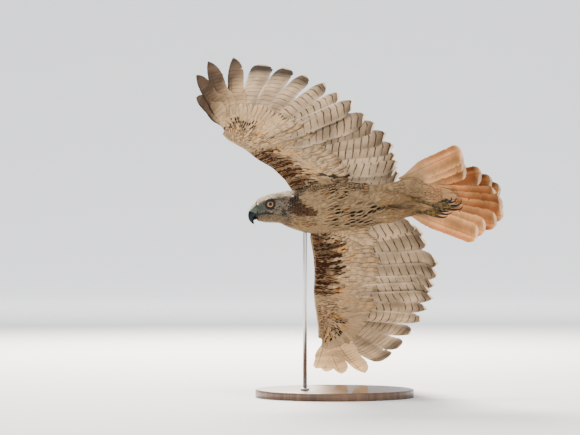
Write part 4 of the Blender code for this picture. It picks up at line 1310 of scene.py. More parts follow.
# %% Sow the body feathers
# Along the body: length, half width, how far the tip stands off
FEATHER_SIZES = (
    (-0.190, 0.0036, 0.0010, 0.0005), (-0.172, 0.0048, 0.0012, 0.0006),
    (-0.150, 0.0066, 0.0014, 0.0008), (-0.125, 0.0100, 0.0018, 0.0010),
    (-0.095, 0.0170, 0.0024, 0.0012), (-0.050, 0.0230, 0.0032, 0.0014),
    (0.040, 0.0250, 0.0034, 0.0015), (0.085, 0.0290, 0.0034, 0.0015),
    (0.120, 0.0440, 0.0034, 0.0012), (0.170, 0.0420, 0.0034, 0.0008),
)
EYE_CLEAR, EYE_BEHIND = 0.0096, 0.016
FREE_END = 0.0035
CAP_NORMAL, LEAVE_NORMAL = 0.75, 0.45
FLANK_RISE = 0.30
MARKED_LIFT, MARKED_WIDTH = 0.0018, 1.75
WING_LIMIT, THIGH_LIMIT = 1.55, 1.3
RAY_START, FEWEST_ROUND = 0.12, 6


def eye_distance(x, z):
    return np.hypot(x - EYE_AT[0], z - EYE_AT[1])


def lead_shaft(start, length, aim):
    # Steps over the skin from the root backwards
    places, normals = [], []
    place = Vector(start)
    heading = Vector(aim)
    last = None
    for _ in range(SMALL_ROWS + 1):
        found, normal, _, _ = skin_tree.find_nearest(place)
        if last is not None and ((found - place).length > FREE_END or normal.x > LEAVE_NORMAL):
            found, normal = place, last
        last = normal
        places.append(tuple(found))
        normals.append(tuple(normal))
        heading = (heading - normal * heading.dot(normal)).normalized()
        place = found + heading * (length / SMALL_ROWS)
    return places, normals


def sow(start, end, axis, limit, rng, spacing=(0.40, 1.05)):
    # Roots ring by ring: place, length, half width, stand, the ring's own x and angle
    found = []
    x = start
    while x < end:
        length, half, stand = read_keyed(FEATHER_SIZES, x)
        z, half_height, y, half_depth = axis(x)
        around = math.pi * (half_height + half_depth)
        count = max(int(around / (half * spacing[1])), FEWEST_ROUND)
        turn = rng.random()
        for k in range(count):
            angle = (k + turn + rng.uniform(-0.25, 0.25)) / count * 2 * math.pi
            out = Vector((0, math.cos(angle), math.sin(angle)))
            middle = Vector(TRUNK + (x + rng.uniform(-0.3, 0.3) * length * spacing[0], y, z))
            hit, normal, _, _ = skin_tree.ray_cast(middle + out * RAY_START, -out)
            if hit is None or normal.x > CAP_NORMAL:
                continue
            local = math.hypot(half_depth * out.y, half_height * out.z)
            if (hit - middle).length <= local * limit:
                found.append((tuple(hit), length, half, stand, x, angle))
        x += length * spacing[0]
    return found


# %% [markdown]
# The colours of the body follow its sides. A red-tailed hawk's breast is plain cream, a
# belt of dark dashes crosses its belly, the thighs are plain and the throat is pale. The
# cheek is grey-brown with a dark streak, the side of the neck is rufous brown, and the
# back is dark brown with a few pale blotches on the shoulders.

# %% Colours and marks of the body
THROAT = np.array((0.180, 0.118, 0.066))
# The crown's pale colour is partly a painted highlight of the sun from above
CROWN_PALE_AND_LIT = np.array((0.98, 0.81, 0.60))
CHEEK = np.array((0.150, 0.128, 0.098))
LORES = np.array((0.085, 0.094, 0.076))
NECK_BROWN = np.array((0.013, 0.007, 0.005))
NECK_RUFOUS = np.array((0.070, 0.026, 0.011))
BREAST = np.array((0.310, 0.205, 0.105))
THIGH_BUFF = np.array((0.25, 0.145, 0.064))
VENT = np.array((0.345, 0.220, 0.112))
UNDERTAIL = np.array((0.62, 0.345, 0.165))
# Lines in the side view that part the crown from the cheek and the cheek from the throat
CHEEK_LINE = ((-0.19, -0.004), (-0.180, 0.006), (-0.160, 0.0155), (-0.12, 0.020))
THROAT_LINE = ((-0.19, -0.022), (-0.165, -0.018), (-0.140, -0.022), (-0.11, -0.028))
# The neck's wedge: its upper edge, its lower edge and where it turns darker
WEDGE_TOP = ((-0.13, 0.020), (-0.108, 0.020), (-0.096, 0.004), (-0.066, -0.014))
WEDGE_FOOT = ((-0.13, -0.010), (-0.110, -0.022), (-0.066, -0.020))
WEDGE_DARK = ((-0.12, -0.006), (-0.09, 0.000), (-0.066, -0.006))
# Patches in the side view: low and high x, low and high z, and how soft their edges are
LORES_PATCH = (-0.194, -0.168, -0.024, 0.012, 0.003)
GAPE_PATCH = (-0.172, -0.153, -0.0165, -0.0135, 0.0012)
STREAK_PATCH = (-0.137, -0.130, -0.021, -0.006, 0.002)
BROW_PATCH = (-0.152, -0.128, 0.010, 0.022, 0.003)
CHIN_PATCH = (-0.195, -0.1835, -0.030, -0.012, 0.0015)
BELT_PATCHES = ((-0.062, -0.002, 0.012, 0.046, 0.008), (-0.046, 0.062, -0.046, 0.004, 0.008))
ARMPIT_PATCH = (-0.092, 0.026, 0.030, 0.060, 0.006)
COLLAR_PATCH = (-0.136, -0.074, -0.037, -0.028, 0.002)
NAPE_PATCH = (-0.131, -0.117, 0.021, 0.040, 0.003)
WING_SHADE_PATCH = (-0.050, 0.096, 0.050, 0.070, 0.003)


# %% Colours of head and neck
def patch(x, z, low_x, high_x, low_z, high_z, soft):
    return between(low_x, high_x, soft, x) * between(low_z, high_z, soft, z)


def under_line(x, z, points, soft=0.003):
    # 1 below a broken line in the side view, 0 above it
    return 1 - smooth(-soft, soft, z - read_keyed(points, x)[0])


def head_colours(x, z, belly, pick):
    # Crown, cheek, lores, throat and the dark marks, as seen from the side
    tint = lerp(CROWN_PALE_AND_LIT, CHEEK, 0.62 * pick[:, 1:2] ** 4)
    cheek = lerp(CHEEK, BREAST, 0.55 * pick[:, 2:3] ** 3)
    side = under_line(x, z, CHEEK_LINE)
    tint = lerp(tint, cheek, side[:, None])
    tint = lerp(tint, LORES, (side * patch(x, z, *LORES_PATCH))[:, None])
    below = under_line(x, z, THROAT_LINE)
    tint = lerp(tint, lerp(THROAT, CHEEK, 0.4 * pick[:, 1:2]), below[:, None])
    tint = lerp(tint, BREAST, smooth(0.80, 0.97, belly)[:, None])
    dark = 1 - smooth(0.0102, 0.0124, eye_distance(x, z))
    dark = dark + patch(x, z, *GAPE_PATCH) * (x > -0.173)
    dark = dark + 0.75 * patch(x, z, *STREAK_PATCH)
    dark = dark + 0.55 * patch(x, z, *BROW_PATCH) * (0.4 + 0.6 * pick[:, 3])
    dark = dark + 0.9 * patch(x, z, *CHIN_PATCH)
    return lerp(tint, NECK_BROWN * 0.7, np.clip(dark, 0, 1)[:, None])


def neck_wedge(x, z, front, pick):
    # How strongly the wedge is drawn, and its own colours
    wedge = under_line(x, z, WEDGE_TOP) * (1 - under_line(x, z, WEDGE_FOOT))
    wedge = wedge * smooth(-0.126, -0.118, x) * (1 - smooth(-0.074, -0.066, x))
    wedge = wedge * smooth(0.15, 0.4, np.abs(front))
    dark = 1 - under_line(x, z, WEDGE_DARK, 0.006) + 0.5 * (pick[:, 3] < 0.35)
    return wedge, lerp(NECK_RUFOUS, NECK_BROWN, np.clip(dark, 0, 1)[:, None])


# %% Colours of the whole body
def body_colours(place, normal, rng, thigh=False):
    # tint, mark and ink of each place, from where it lies and how it faces
    on_body = 0 if thigh else 1
    x, y, z = (place - TRUNK).T
    many = len(x)
    pick = rng.random((many, 5))
    roll = smooth(-0.125, -0.060, x) * math.pi / 2
    belly = -normal[:, 1] * np.sin(roll) - normal[:, 2] * np.cos(roll)
    front = -normal[:, 1]
    _, _, row_y, half_depth = body_row(x)
    inside = (row_y - y) / np.maximum(half_depth, 0.004) + 0.2
    belly = lerp(belly, inside, smooth(0.10, 0.13, x))
    head = 1 - smooth(-0.123, -0.109, x)
    back = (1 - smooth(-0.35, 0.0, belly)) * (1 - head)
    brown = lerp(BACK_BROWN, BACK_PALE, (pick[:, :1] < 0.16) * 0.8)
    tint = lerp(np.tile(BREAST, (many, 1)), brown, back[:, None])
    tint = lerp(tint, VENT, (smooth(0.06, 0.12, x) * (1 - back))[:, None])
    tint = lerp(tint, head_colours(x, z, belly, pick), head[:, None])
    # From here on the edges of the marks are a little ragged
    x = x + 0.0028 * rng.standard_normal(many)
    z = z + 0.0022 * rng.standard_normal(many)
    wedge, wedge_tint = neck_wedge(x, z, front, pick)
    tint = lerp(tint, wedge_tint, (wedge * 0.95)[:, None])
    uneven = (0.10 + 0.12 * head[:, None]) * rng.standard_normal((many, 1))
    tint = tint * np.clip(1 + uneven, 0.5, 1.5)
    if thigh:
        tint = np.tile(THIGH_BUFF, (many, 1)) * (1 + 0.07 * rng.standard_normal((many, 1)))
    belt = np.maximum(*(patch(x, z, *edges) for edges in BELT_PATCHES))
    belt = belt * smooth(0.1, 0.4, front) * on_body
    armpit = patch(x, z, *ARMPIT_PATCH) * (1 - back) * on_body
    plain = (1 - back) * (1 - head) * (pick[:, 4] > 0.90) * (0.15 if thigh else 0.55)
    collar = patch(x, z, *COLLAR_PATCH) * (pick[:, 4] < 0.34) * (1 - back)
    drop = np.maximum.reduce([
        belt * (pick[:, 4] < 0.34), plain, collar * 0.9,
        head * 0.85 * (pick[:, 4] < 0.42) * (1 - smooth(0.5, 0.9, belly)),
        wedge * 0.6 * (pick[:, 4] < 0.5), armpit * (pick[:, 4] < 0.45)])
    # The nape patch takes the crown's colour, which is partly painted highlight
    nape = patch(x, z, *NAPE_PATCH) * (1 - smooth(0.70, 0.90, pick[:, 2]))
    tint = lerp(tint, CROWN_PALE_AND_LIT, nape[:, None])
    wing_shade = patch(x, z, *WING_SHADE_PATCH) * smooth(-0.5, 0.0, belly) * on_body
    tint = lerp(tint, tint * 0.22, wing_shade[:, None])
    drop = drop * (1 - smooth(0.070, 0.092, x) * on_body)
    # Towards the tail the coat turns orange
    blend = smooth(0.125, 0.150, x) * (1 - back) * on_body
    tips = lerp(0.4 * back, 0.22 * pick[:, 1], blend)
    marks = np.stack([drop, armpit * 0.8 * (pick[:, 0] < 0.7), tips, 0.10 + 0.10 * back], 1)
    rufous = (pick[:, 2] < 0.16) * smooth(-0.07, -0.05, x)
    inks = lerp(INK_DARK, INK_RUFOUS, rufous[:, None])
    inks = lerp(inks, INK_RUFOUS * 0.6, collar[:, None])
    inks = lerp(inks, TAIL_ORANGE * 1.2, blend[:, None])
    return lerp(tint, UNDERTAIL, 0.75 * blend[:, None]), marks, inks


# %% Colour the skin
# The skin under the feathers carries the same colours, vertex by vertex
skin_places = np.array([v.co for v in melted.vertices])
skin_facing = np.array([v.normal for v in melted.vertices])
skin_tints, _, _ = body_colours(skin_places, skin_facing, np.random.default_rng(40))
put_attribute(melted, "tint", "FLOAT_COLOR", skin_tints)
print("skin colours:", len(skin_tints))


# %% Grow the coats
def feather_coat(name, roots, seed, thigh=False, spread=0.07):
    rng = np.random.default_rng(seed)
    places = np.array([r[0] for r in roots]) - TRUNK
    clear = eye_distance(places[:, 0], places[:, 2]) > EYE_CLEAR
    clear |= np.abs(places[:, 1]) < EYE_BEHIND
    places = places[clear] + TRUNK
    length, half, stand, ring, angle = np.array([r[1:] for r in roots])[clear].T
    rise = FLANK_RISE * smooth(-0.10, -0.05, ring) * smooth(0.09, 0.05, ring)
    lines = [lead_shaft(place, long, (1, rng.normal(0, spread), up + rng.normal(0, spread)))
             for place, long, up in zip(places, length, rise)]
    middle, normal = (np.array(part) for part in zip(*lines))
    ahead = unit(np.gradient(middle, axis=1))
    across = unit(np.cross(ahead, unit(normal)))
    normal = np.cross(across, ahead)
    tilt = rng.normal(0, 0.06, (len(length), 1, 1))
    seen = SMALL_ROWS // 2
    tint, marks, inks = body_colours(middle[:, seen], normal[:, seen], rng, thigh)
    marked = (marks[:, 0] > 0.6) * smooth(0.008, 0.014, length)
    own = stand[:, None] * rng.uniform(0.85, 1.15, (len(length), 1))
    lift = lerp(-0.0004, 1.0, T_SMALL)[None] * own
    lift = lift + MARKED_LIFT * marked[:, None] * smooth(0.0, 0.4, T_SMALL)
    middle = middle + normal * lift[..., None]
    width = (half * lerp(1, MARKED_WIDTH, marked))[:, None] * small_width(T_SMALL)
    top, low = shape_vanes(middle, unit(across + normal * tilt), normal, width, width,
                           SMALL_COLUMNS, np.full(width.shape, 0.00026), 0.04)
    tint = np.broadcast_to(tint[:, None, None], top.shape)
    bake = small_bake(np.stack([(ring + 0.2) / 0.42, angle / (2 * math.pi) % 1], 1))
    return join_vanes(name, top, low, tint, tint, small_lay(len(length), length), SMALL,
                      marks, inks, bake)


# %% Sow and grow every coat
sowing = np.random.default_rng(41)
ZONES = (("face_feathers", -0.186, -0.156), ("head_feathers", -0.156, -0.122),
         ("neck_feathers", -0.122, -0.060), ("breast_feathers", -0.060, 0.030),
         ("rump_feathers", 0.030, 0.100))
for number, (name, start, end) in enumerate(ZONES):
    feather_coat(name, sow(start, end, body_row, WING_LIMIT, sowing), 50 + number)
undertail = sow(0.100, 0.178, body_row, WING_LIMIT, sowing, (0.13, 1.05))
feather_coat("tail_covert_feathers", undertail, 58, spread=0.06)
for number, (side, rings) in enumerate(THIGH_RINGS.items()):
    roots = sow(0.046, 0.112, functools.partial(read_keyed, rings), THIGH_LIMIT, sowing,
                (0.30, 1.1))
    feather_coat(f"thigh_feathers_{side}", roots, 60 + number, thigh=True)

# %% [markdown]
# ## Eyes
#
# A hawk's eye is large and set deep, and only its front shows between the lids. This
# bird is young enough for a pale brown iris. The ball is a full sphere whose front is
# drawn out into a low dome for the cornea. The iris and pupil are drawn by the distance
# from the eye's own axis, with fine spokes, under a clear and glossy coat.

# %% The eyes
PUPIL, PUPIL_SOFT, IRIS, IRIS_EDGE = 0.0034, 0.0003, 0.0056, 0.0060
CORNEA_RADIUS, CORNEA_RISE = 0.0058, 0.0006
EYE_DEPTH = body_row(EYE_AT[0])[3] - EYE_SINK
EYE_MIDDLE = {face: TRUNK + (EYE_AT[0], HEAD_DEPTH + face * EYE_DEPTH, EYE_AT[1])
              for face in (-1, 1)}
FACES = {-1: "left", 1: "right"}


def eye_material():
    n = Nodes("eye_iris")
    x, _, z = n.parts(n.place)
    far, right, up = from_eye(n, x, z)
    angle = n.math("ARCTAN2", up, right)
    spokes = n.noise(1.6, 4, vector=n.vector(angle * 9, far * 300, 0))
    iris = n.mix(spokes, (0.12, 0.052, 0.020, 1), (0.30, 0.150, 0.068, 1))
    iris = n.mix(n.step(PUPIL, IRIS, far), iris, (0.38, 0.205, 0.100, 1))
    colour = n.mix(n.step(PUPIL, PUPIL + PUPIL_SOFT, far), (0.003, 0.003, 0.003, 1), iris)
    colour = n.mix(n.step(IRIS, IRIS_EDGE, far), colour, (0.015, 0.010, 0.008, 1))
    return n.finish(colour, 0.35, Specular_IOR_Level=0.1, Coat_Weight=0.35, Coat_Roughness=0.02)


# %% Make the eyes
EYE_LOOK = eye_material()
for face, side in FACES.items():
    ball = bmesh.new()
    bmesh.ops.create_uvsphere(ball, u_segments=48, v_segments=32, radius=EYE_RADIUS)
    bmesh.ops.rotate(ball, verts=ball.verts, matrix=Matrix.Rotation(math.pi / 2, 3, "X"))
    for v in ball.verts:
        away = math.hypot(v.co.x, v.co.z)
        if v.co.y * face > 0 and away < CORNEA_RADIUS:
            v.co.y += face * CORNEA_RISE * (1 - (away / CORNEA_RADIUS) ** 2)
    bmesh.ops.translate(ball, verts=ball.verts, vec=EYE_MIDDLE[face])
    add_piece(f"eye_{side}_ball", [ball], EYE_LOOK, (f"eye_{side}",))

# %% [markdown]
# ## Lids
#
# Dark bare skin rings the eye. A full circle of it would look startled, so the ring is
# an oval, lower at the front corner, and the upper lid is thicker and hangs a little
# over the iris, under the brow. Small ripples along the ring give it its crinkled edge.

# %% The lids
LID_RADIUS, LID_TUBE, LID_STAND = 0.0080, 0.0021, 0.0060
LID_SEGMENTS, LID_SIDES, LID_RIPPLES = 96, 14, 30
LID_STRETCH, LID_SLANT, LID_HEAVY = 1.02, 0.10, 0.35


def soft_skin(name, dark, pale, scale, rough=0.55):
    n = Nodes(name)
    mottled = n.step(0.36, 0.66, n.noise(scale * 0.3, 3))
    n.bump(n.cells(scale), 0.0003, 0.5)
    return n.finish(n.mix(mottled, dark, pale), rough, Specular_IOR_Level=0.25)


# %% Make the lids
LID_SKIN = soft_skin("lid_skin", (0.004, 0.004, 0.004, 1), (0.014, 0.011, 0.010, 1), 1400)
for face, side in FACES.items():
    c, s = circle(LID_SEGMENTS)
    upper = np.clip(s, 0, 1)
    x = c * LID_RADIUS * LID_STRETCH
    z = s * LID_RADIUS * (1 - 0.10 * upper) + LID_SLANT * x
    y = face * (LID_STAND - LID_SLANT * np.abs(x) + 0.0006 * upper)
    line = EYE_MIDDLE[face] + np.stack([x, y, z], 1)
    ripples = 1 + 0.08 * np.sin(np.arange(LID_SEGMENTS) / LID_SEGMENTS * 2 * math.pi * LID_RIPPLES)
    ahead = unit(np.roll(line, -1, 0) - np.roll(line, 1, 0))
    outward = unit(line - EYE_MIDDLE[face] - (0, face * LID_STAND, 0))
    rings = turn_rings(line, LID_TUBE * (1 + LID_HEAVY * upper) * ripples, outward,
                       np.cross(ahead, outward), LID_SIDES)
    add_piece(f"lids_{side}", [tube_shape(np.concatenate([rings, rings[:1]]))], LID_SKIN)

# %% [markdown]
# ## Bill, cere and gape
#
# The upper half of the bill hooks down over the lower one. Its base is wrapped in the
# cere, a soft grey-green skin with the nostril in it, and the horn in front is nearly
# black. Rings along a bent line give the hook, the nostril is a real dent, and two thin
# lips run back under the eye where the mouth opens.

# %% The bill
# Along the body, height, half height, half width, and the way the bill heads in degrees
UPPER_BILL = (
    (-0.1853, -0.0062, 0.0148, 0.0115, 180), (-0.1905, -0.0088, 0.0128, 0.0100, 191),
    (-0.1952, -0.0148, 0.0098, 0.0080, 214), (-0.1975, -0.0215, 0.0072, 0.0058, 245),
    (-0.1968, -0.0285, 0.0045, 0.0036, 277), (-0.1935, -0.0345, 0.0018, 0.0016, 298),
    (-0.1922, -0.0366, 0.0004, 0.0004, 302),
)
LOWER_BILL = (
    (-0.1853, -0.0226, 0.0034, 0.0095, 180), (-0.1885, -0.0246, 0.0032, 0.0080, 186),
    (-0.1918, -0.0262, 0.0022, 0.0050, 190), (-0.1934, -0.0270, 0.0008, 0.0020, 190),
)
NOSTRIL_AT, NOSTRIL_RADIUS, NOSTRIL_DENT = (-0.1893, -0.0035), 0.0017, 0.0014
BILL_SIDES, UPPER_STEPS, LOWER_STEPS = 48, 64, 32
THINNEST_BILL, RIDGE_NARROW = 0.0002, 0.22
# Where the waxy cere ends, and the height of the pale ridge, partly painted highlight
CERE_LINE = (-0.1940, -0.0128, 3.0)
RIDGE_LINE = 0.1894


def bill_shape(rows, steps):
    rings = []
    c, s = circle(BILL_SIDES)
    # The ridge is narrower than the cutting edge below it
    wide = squared(c) * (1 - RIDGE_NARROW * np.clip(s, 0, 1))
    for x, z, half_height, half_width, degrees in spline(rows, steps):
        angle = math.radians(degrees)
        up = np.array((math.sin(angle), 0, -math.cos(angle)))
        ring = TRUNK + (x, HEAD_DEPTH, z) + up * (max(half_height, THINNEST_BILL) * s)[:, None]
        ring[:, 1] += max(half_width, THINNEST_BILL) * wide
        rings.append(ring)
    return tube_shape(rings)


def bill_material():
    n = Nodes("bill_and_cere")
    x, y, z = n.parts(n.place)
    line_x, line_z, slope = CERE_LINE
    edge = x - float(TRUNK[0] + line_x) + (z - float(TRUNK[2] + line_z)) * slope
    wobble = (n.noise(300) - 0.5) * 0.0012
    cere = n.step(-0.0012, 0.0018, edge + wobble)
    layers = n.noise(1, 3, vector=n.vector(edge * 500, y * 60, 0))
    ridge = n.step(0.0, 0.0026, z - x - float(TRUNK[2] - TRUNK[0] + RIDGE_LINE) + wobble)
    pores = n.cells(900.0)
    horn = n.mix(layers, (0.002, 0.004, 0.006, 1), (0.008, 0.012, 0.016, 1))
    waxy = n.mix(pores, (0.030, 0.042, 0.036, 1), (0.095, 0.110, 0.088, 1))
    # The cere's pale top is partly its own colour and partly a painted highlight
    waxy = n.mix(ridge, waxy, (0.50, 0.44, 0.31, 1))
    n.bump(layers * 0.4 + pores * cere, 0.0002, 0.5)
    return n.finish(n.mix(cere, horn, waxy), cere * 0.25 + 0.24, Specular_IOR_Level=0.14)


# %% Make the bill
BILL_LOOK = bill_material()
upper_bill = bill_shape(UPPER_BILL, UPPER_STEPS)
for v in upper_bill.verts:
    x, y, z = np.array(v.co) - TRUNK
    away = math.hypot(x - NOSTRIL_AT[0], (z - NOSTRIL_AT[1]) * 1.2)
    dent = NOSTRIL_DENT * (1 - smooth(NOSTRIL_RADIUS * 0.5, NOSTRIL_RADIUS * 1.15, away))
    v.co.y -= math.copysign(float(dent), y - HEAD_DEPTH)
upper_horn = add_piece("bill_upper_horn", [upper_bill], BILL_LOOK, ("bill_upper",))
add_piece("bill_lower_horn", [bill_shape(LOWER_BILL, LOWER_STEPS)], BILL_LOOK,
          ("bill_lower",))

# %% Nostrils and lips
DARK_PIT = soft_skin("nostril_pit", (0.006, 0.006, 0.006, 1), (0.018, 0.016, 0.014, 1), 900, 0.8)
LIP_SKIN = soft_skin("gape_skin", (0.004, 0.004, 0.003, 1), (0.016, 0.014, 0.009, 1), 1100)
PIT_SHARE, PIT_SCALE, PIT_RAY, LIP_RAY = 0.72, (1.15, 0.35, 0.8), 0.03, 0.06
MOUTH_LINE = ((-0.1866, -0.0205), (-0.1815, -0.0172), (-0.1760, -0.0152), (-0.1660, -0.0138),
              (-0.1560, -0.0142))
LIP_RADIUS, LIP_GAP, LIP_STAND, LIP_STEPS = 0.00095, 0.00070, 0.0006, 28
LIP_TAPER = ((0, 0.1, 0.85, 1), (0.8, 1, 0.9, 0.2))
upper_tree = surface_tree(upper_horn.data)


def lip_point(x, z, face):
    # The outermost of skin, bill and the head's own ring at this height
    start = Vector(TRUNK + (x, HEAD_DEPTH + face * LIP_RAY, z))
    middle, half_height, _, half_depth = body_row(x)
    flat = 1 - min(abs((z - middle) / half_height), 0.98) ** RING_POWER
    deep = half_depth * flat ** (1 / RING_POWER) * 0.94
    seen = [tree.ray_cast(start, (0, -face, 0))[0] for tree in (skin_tree, upper_tree)]
    seen = [s for s in seen if s is not None and (s.y - TRUNK[1] - HEAD_DEPTH) * face > 0]
    seen.append(Vector(TRUNK + (x, HEAD_DEPTH + face * deep, z)))
    near = max(seen, key=lambda s: s.y * face)
    return near.x, near.y + face * LIP_STAND, near.z


# %% Make the nostrils and lips
pits, lips = [], []
for face in FACES:
    at = Vector(TRUNK + (NOSTRIL_AT[0], HEAD_DEPTH + face * PIT_RAY, NOSTRIL_AT[1]))
    hit, _, _, _ = upper_tree.ray_cast(at, (0, -face, 0))
    pit = bmesh.new()
    bmesh.ops.create_uvsphere(pit, u_segments=20, v_segments=12,
                              radius=NOSTRIL_RADIUS * PIT_SHARE)
    bmesh.ops.scale(pit, verts=pit.verts, vec=PIT_SCALE)
    bmesh.ops.translate(pit, verts=pit.verts, vec=hit)
    pits.append(pit)
    for lip in (-1, 1):
        line = [lip_point(x, z + lip * LIP_GAP, face) for x, z in spline(MOUTH_LINE, LIP_STEPS)]
        radii = LIP_RADIUS * np.interp(np.linspace(0, 1, LIP_STEPS), *LIP_TAPER)
        lips.append(tube_shape(tube_rings(line, radii, 12, (0, face, 0))))
add_piece("nostrils", pits, DARK_PIT)
add_piece("gape_lips", lips, LIP_SKIN)

# %% [markdown]
# ## Legs and feet
#
# The legs are folded back under the tail with the toes half closed. A hawk's tarsus and
# toes are olive yellow and covered in scales: wide scutes over the top and small grains
# at the sides. Each scute is a real step in the tube's rings, and pads swell under the
# joints. The claws are smooth curved horn, almost black.

# %% Scaled legs
TARSUS = {
    "left": ((0.1100, -0.0280, 0.0155), (0.1183, -0.0295, 0.0145), (0.1450, -0.0370, 0.0080),
             (0.1630, -0.0420, 0.0020), (0.1700, -0.0440, 0.0000)),
    "right": ((0.1160, -0.0200, -0.0120), (0.1243, -0.0215, -0.0120), (0.1380, -0.0250, -0.0130),
              (0.1490, -0.0290, -0.0130), (0.1545, -0.0310, -0.0125)),
}
TARSUS_RADII = (0.0048, 0.0043, 0.0037, 0.0042, 0.0042)
PALM_RADIUS, TOE_RADII = 0.0062, (0.0046, 0.0038, 0.0030)
CLAW_COLLAR, CLAW_RADII = 0.0025, (0.0026, 0.0027, 0.0022, 0.0015, 0.0005)
FEET = {
    "left": {
        "palm": (0.1700, -0.0440, 0.0000),
        "toes": (((0.1860, -0.0470, 0.0040), (0.1930, -0.0440, 0.0075)),
                 ((0.1880, -0.0480, -0.0010), (0.1985, -0.0450, -0.0010)),
                 ((0.1850, -0.0460, -0.0060), (0.1950, -0.0430, -0.0070)),
                 ((0.1790, -0.0390, 0.0075), (0.1880, -0.0370, 0.0110))),
        "claws": (((0.2010, -0.0440, 0.0070), (0.2080, -0.0450, 0.0100),
                   (0.2100, -0.0460, 0.0170)),
                  ((0.2100, -0.0440, 0.0000), (0.2185, -0.0450, 0.0050),
                   (0.2200, -0.0460, 0.0130)),
                  ((0.2080, -0.0420, -0.0080), (0.2190, -0.0430, -0.0060),
                   (0.2240, -0.0440, 0.0010)),
                  ((0.1960, -0.0370, 0.0095), (0.2010, -0.0380, 0.0130),
                   (0.2000, -0.0390, 0.0180))),
    },
    "right": {
        "palm": (0.1545, -0.0310, -0.0125),
        "toes": (((0.1680, -0.0320, -0.0100), (0.1750, -0.0300, -0.0095)),
                 ((0.1690, -0.0330, -0.0140), (0.1790, -0.0310, -0.0150)),
                 ((0.1640, -0.0320, -0.0180), (0.1720, -0.0300, -0.0205)),
                 ((0.1620, -0.0260, -0.0090), (0.1680, -0.0230, -0.0080))),
        "claws": (((0.1830, -0.0290, -0.0105), (0.1920, -0.0295, -0.0115),
                   (0.1980, -0.0300, -0.0090)),
                  ((0.1880, -0.0300, -0.0165), (0.1970, -0.0305, -0.0160),
                   (0.2030, -0.0310, -0.0120)),
                  ((0.1800, -0.0290, -0.0225), (0.1880, -0.0295, -0.0225),
                   (0.1940, -0.0300, -0.0190)),
                  ((0.1750, -0.0220, -0.0090), (0.1820, -0.0225, -0.0080),
                   (0.1860, -0.0230, -0.0040))),
    },
}
SCUTE, ROWS_A_SCUTE, FEWEST_ROWS, LEG_SIDES = 0.0019, 6, 12, 20
PAD_SWELL, PADS, FIRST_END, LAST_END = 0.10, 1.5, 0.5, 0.55
FOOT_SKIN = soft_skin("foot_scales", (0.010, 0.006, 0.003, 1), (0.145, 0.084, 0.012, 1), 850)


# %% Make the legs and toes
def scaled_tube(points, radii, swell=0):
    # Close rings whose size steps up at every scute
    length = np.linalg.norm(np.diff(np.asarray(points), axis=0), axis=1).sum()
    count = max(int(length / SCUTE * ROWS_A_SCUTE), FEWEST_ROWS)
    way = np.linspace(0, 1, count)
    base = np.interp(way, np.linspace(0, 1, len(radii)), radii)
    phase = (way * length / SCUTE) % 1
    base = base * (0.94 + 0.08 * np.minimum(phase * 1.4, 1) * (1 - smooth(0.85, 1.0, phase)))
    base = base * (1 + swell * np.sin(way * 2 * math.pi * PADS) ** 2)
    base[0] *= FIRST_END
    base[-1] *= LAST_END
    return tube_shape(tube_rings(TRUNK + spline(points, count), base, LEG_SIDES))


for side, foot in FEET.items():
    add_piece(f"leg_{side}", [scaled_tube(TARSUS[side], TARSUS_RADII)], FOOT_SKIN,
              (f"tarsus_{side}",))
    palm = bmesh.new()
    bmesh.ops.create_icosphere(palm, subdivisions=3, radius=PALM_RADIUS)
    bmesh.ops.translate(palm, verts=palm.verts, vec=TRUNK + foot["palm"])
    toes = [scaled_tube((foot["palm"], *joints), TOE_RADII, PAD_SWELL) for joints in foot["toes"]]
    add_piece(f"toes_{side}", [palm] + toes, FOOT_SKIN, (f"foot_{side}",))

# %% Claws
CLAW_STEPS, CLAW_SIDES, CLAW_INSIDE = 36, 16, 0.0012


def claw_material():
    n = Nodes("claw_horn_dark")
    grain = n.noise(500, 3)
    n.bump(grain, 0.0001, 0.3)
    colour = n.mix(grain, (0.004, 0.004, 0.005, 1), (0.016, 0.014, 0.013, 1))
    return n.finish(colour, 0.28, Specular_IOR_Level=0.25)


CLAW_LOOK = claw_material()
for side, foot in FEET.items():
    for number, (joints, hook) in enumerate(zip(foot["toes"], foot["claws"]), 1):
        before, last = np.array(joints)
        ahead = unit(last - before)
        points = [last - ahead * CLAW_INSIDE, last + ahead * CLAW_COLLAR, *hook]
        radii = np.interp(np.linspace(0, 1, CLAW_STEPS),
                          np.linspace(0, 1, len(CLAW_RADII)), CLAW_RADII)
        claw = tube_shape(tube_rings(TRUNK + spline(points, CLAW_STEPS), radii, CLAW_SIDES))
        add_piece(f"talon_{side}_{number}", [claw], CLAW_LOOK,
                  (f"claw_{side}_{number}",))

# %% [markdown]
# ## The stand
#
# A turned disc of dark wood carries a thin steel rod. The disc is a cone operator's
# cylinder with a rounded rim, and its grain is drawn by stretched noise. The rod ends in
# a small collar where it is screwed into the wood.

# %% The stand's values and looks
BASE_RADIUS, BASE_HEIGHT, BASE_BEVEL, BASE_SIDES = 0.160, 0.016, 0.003, 160
ROD_RADIUS, ROD_BEVEL, ROD_SIDES, ROD_SUNK = 0.004, 0.0004, 40, 0.002
ROD_AT = (TRUNK[0] - 0.090, TRUNK[1] + 0.002)
COLLAR_RADIUS, COLLAR_HEIGHT, COLLAR_BEVEL = 0.0085, 0.005, 0.0012
COLLAR_SIDES, COLLAR_SUNK = 64, 0.001
FLAT_NORMAL = 0.99


def turned_disc(radius, low, high, sides, bevel, at=(0, 0)):
    disc = bmesh.new()
    bmesh.ops.create_cone(disc, cap_ends=True, segments=sides, radius1=radius, radius2=radius,
                          depth=high - low)
    bmesh.ops.translate(disc, verts=disc.verts, vec=(at[0], at[1], (low + high) / 2))
    rim = [e for e in disc.edges if all(v.co.z > (low + high) / 2 for v in e.verts)]
    bmesh.ops.bevel(disc, geom=rim, offset=bevel, segments=4, profile=0.5, affect="EDGES",
                    material=-1)
    return disc


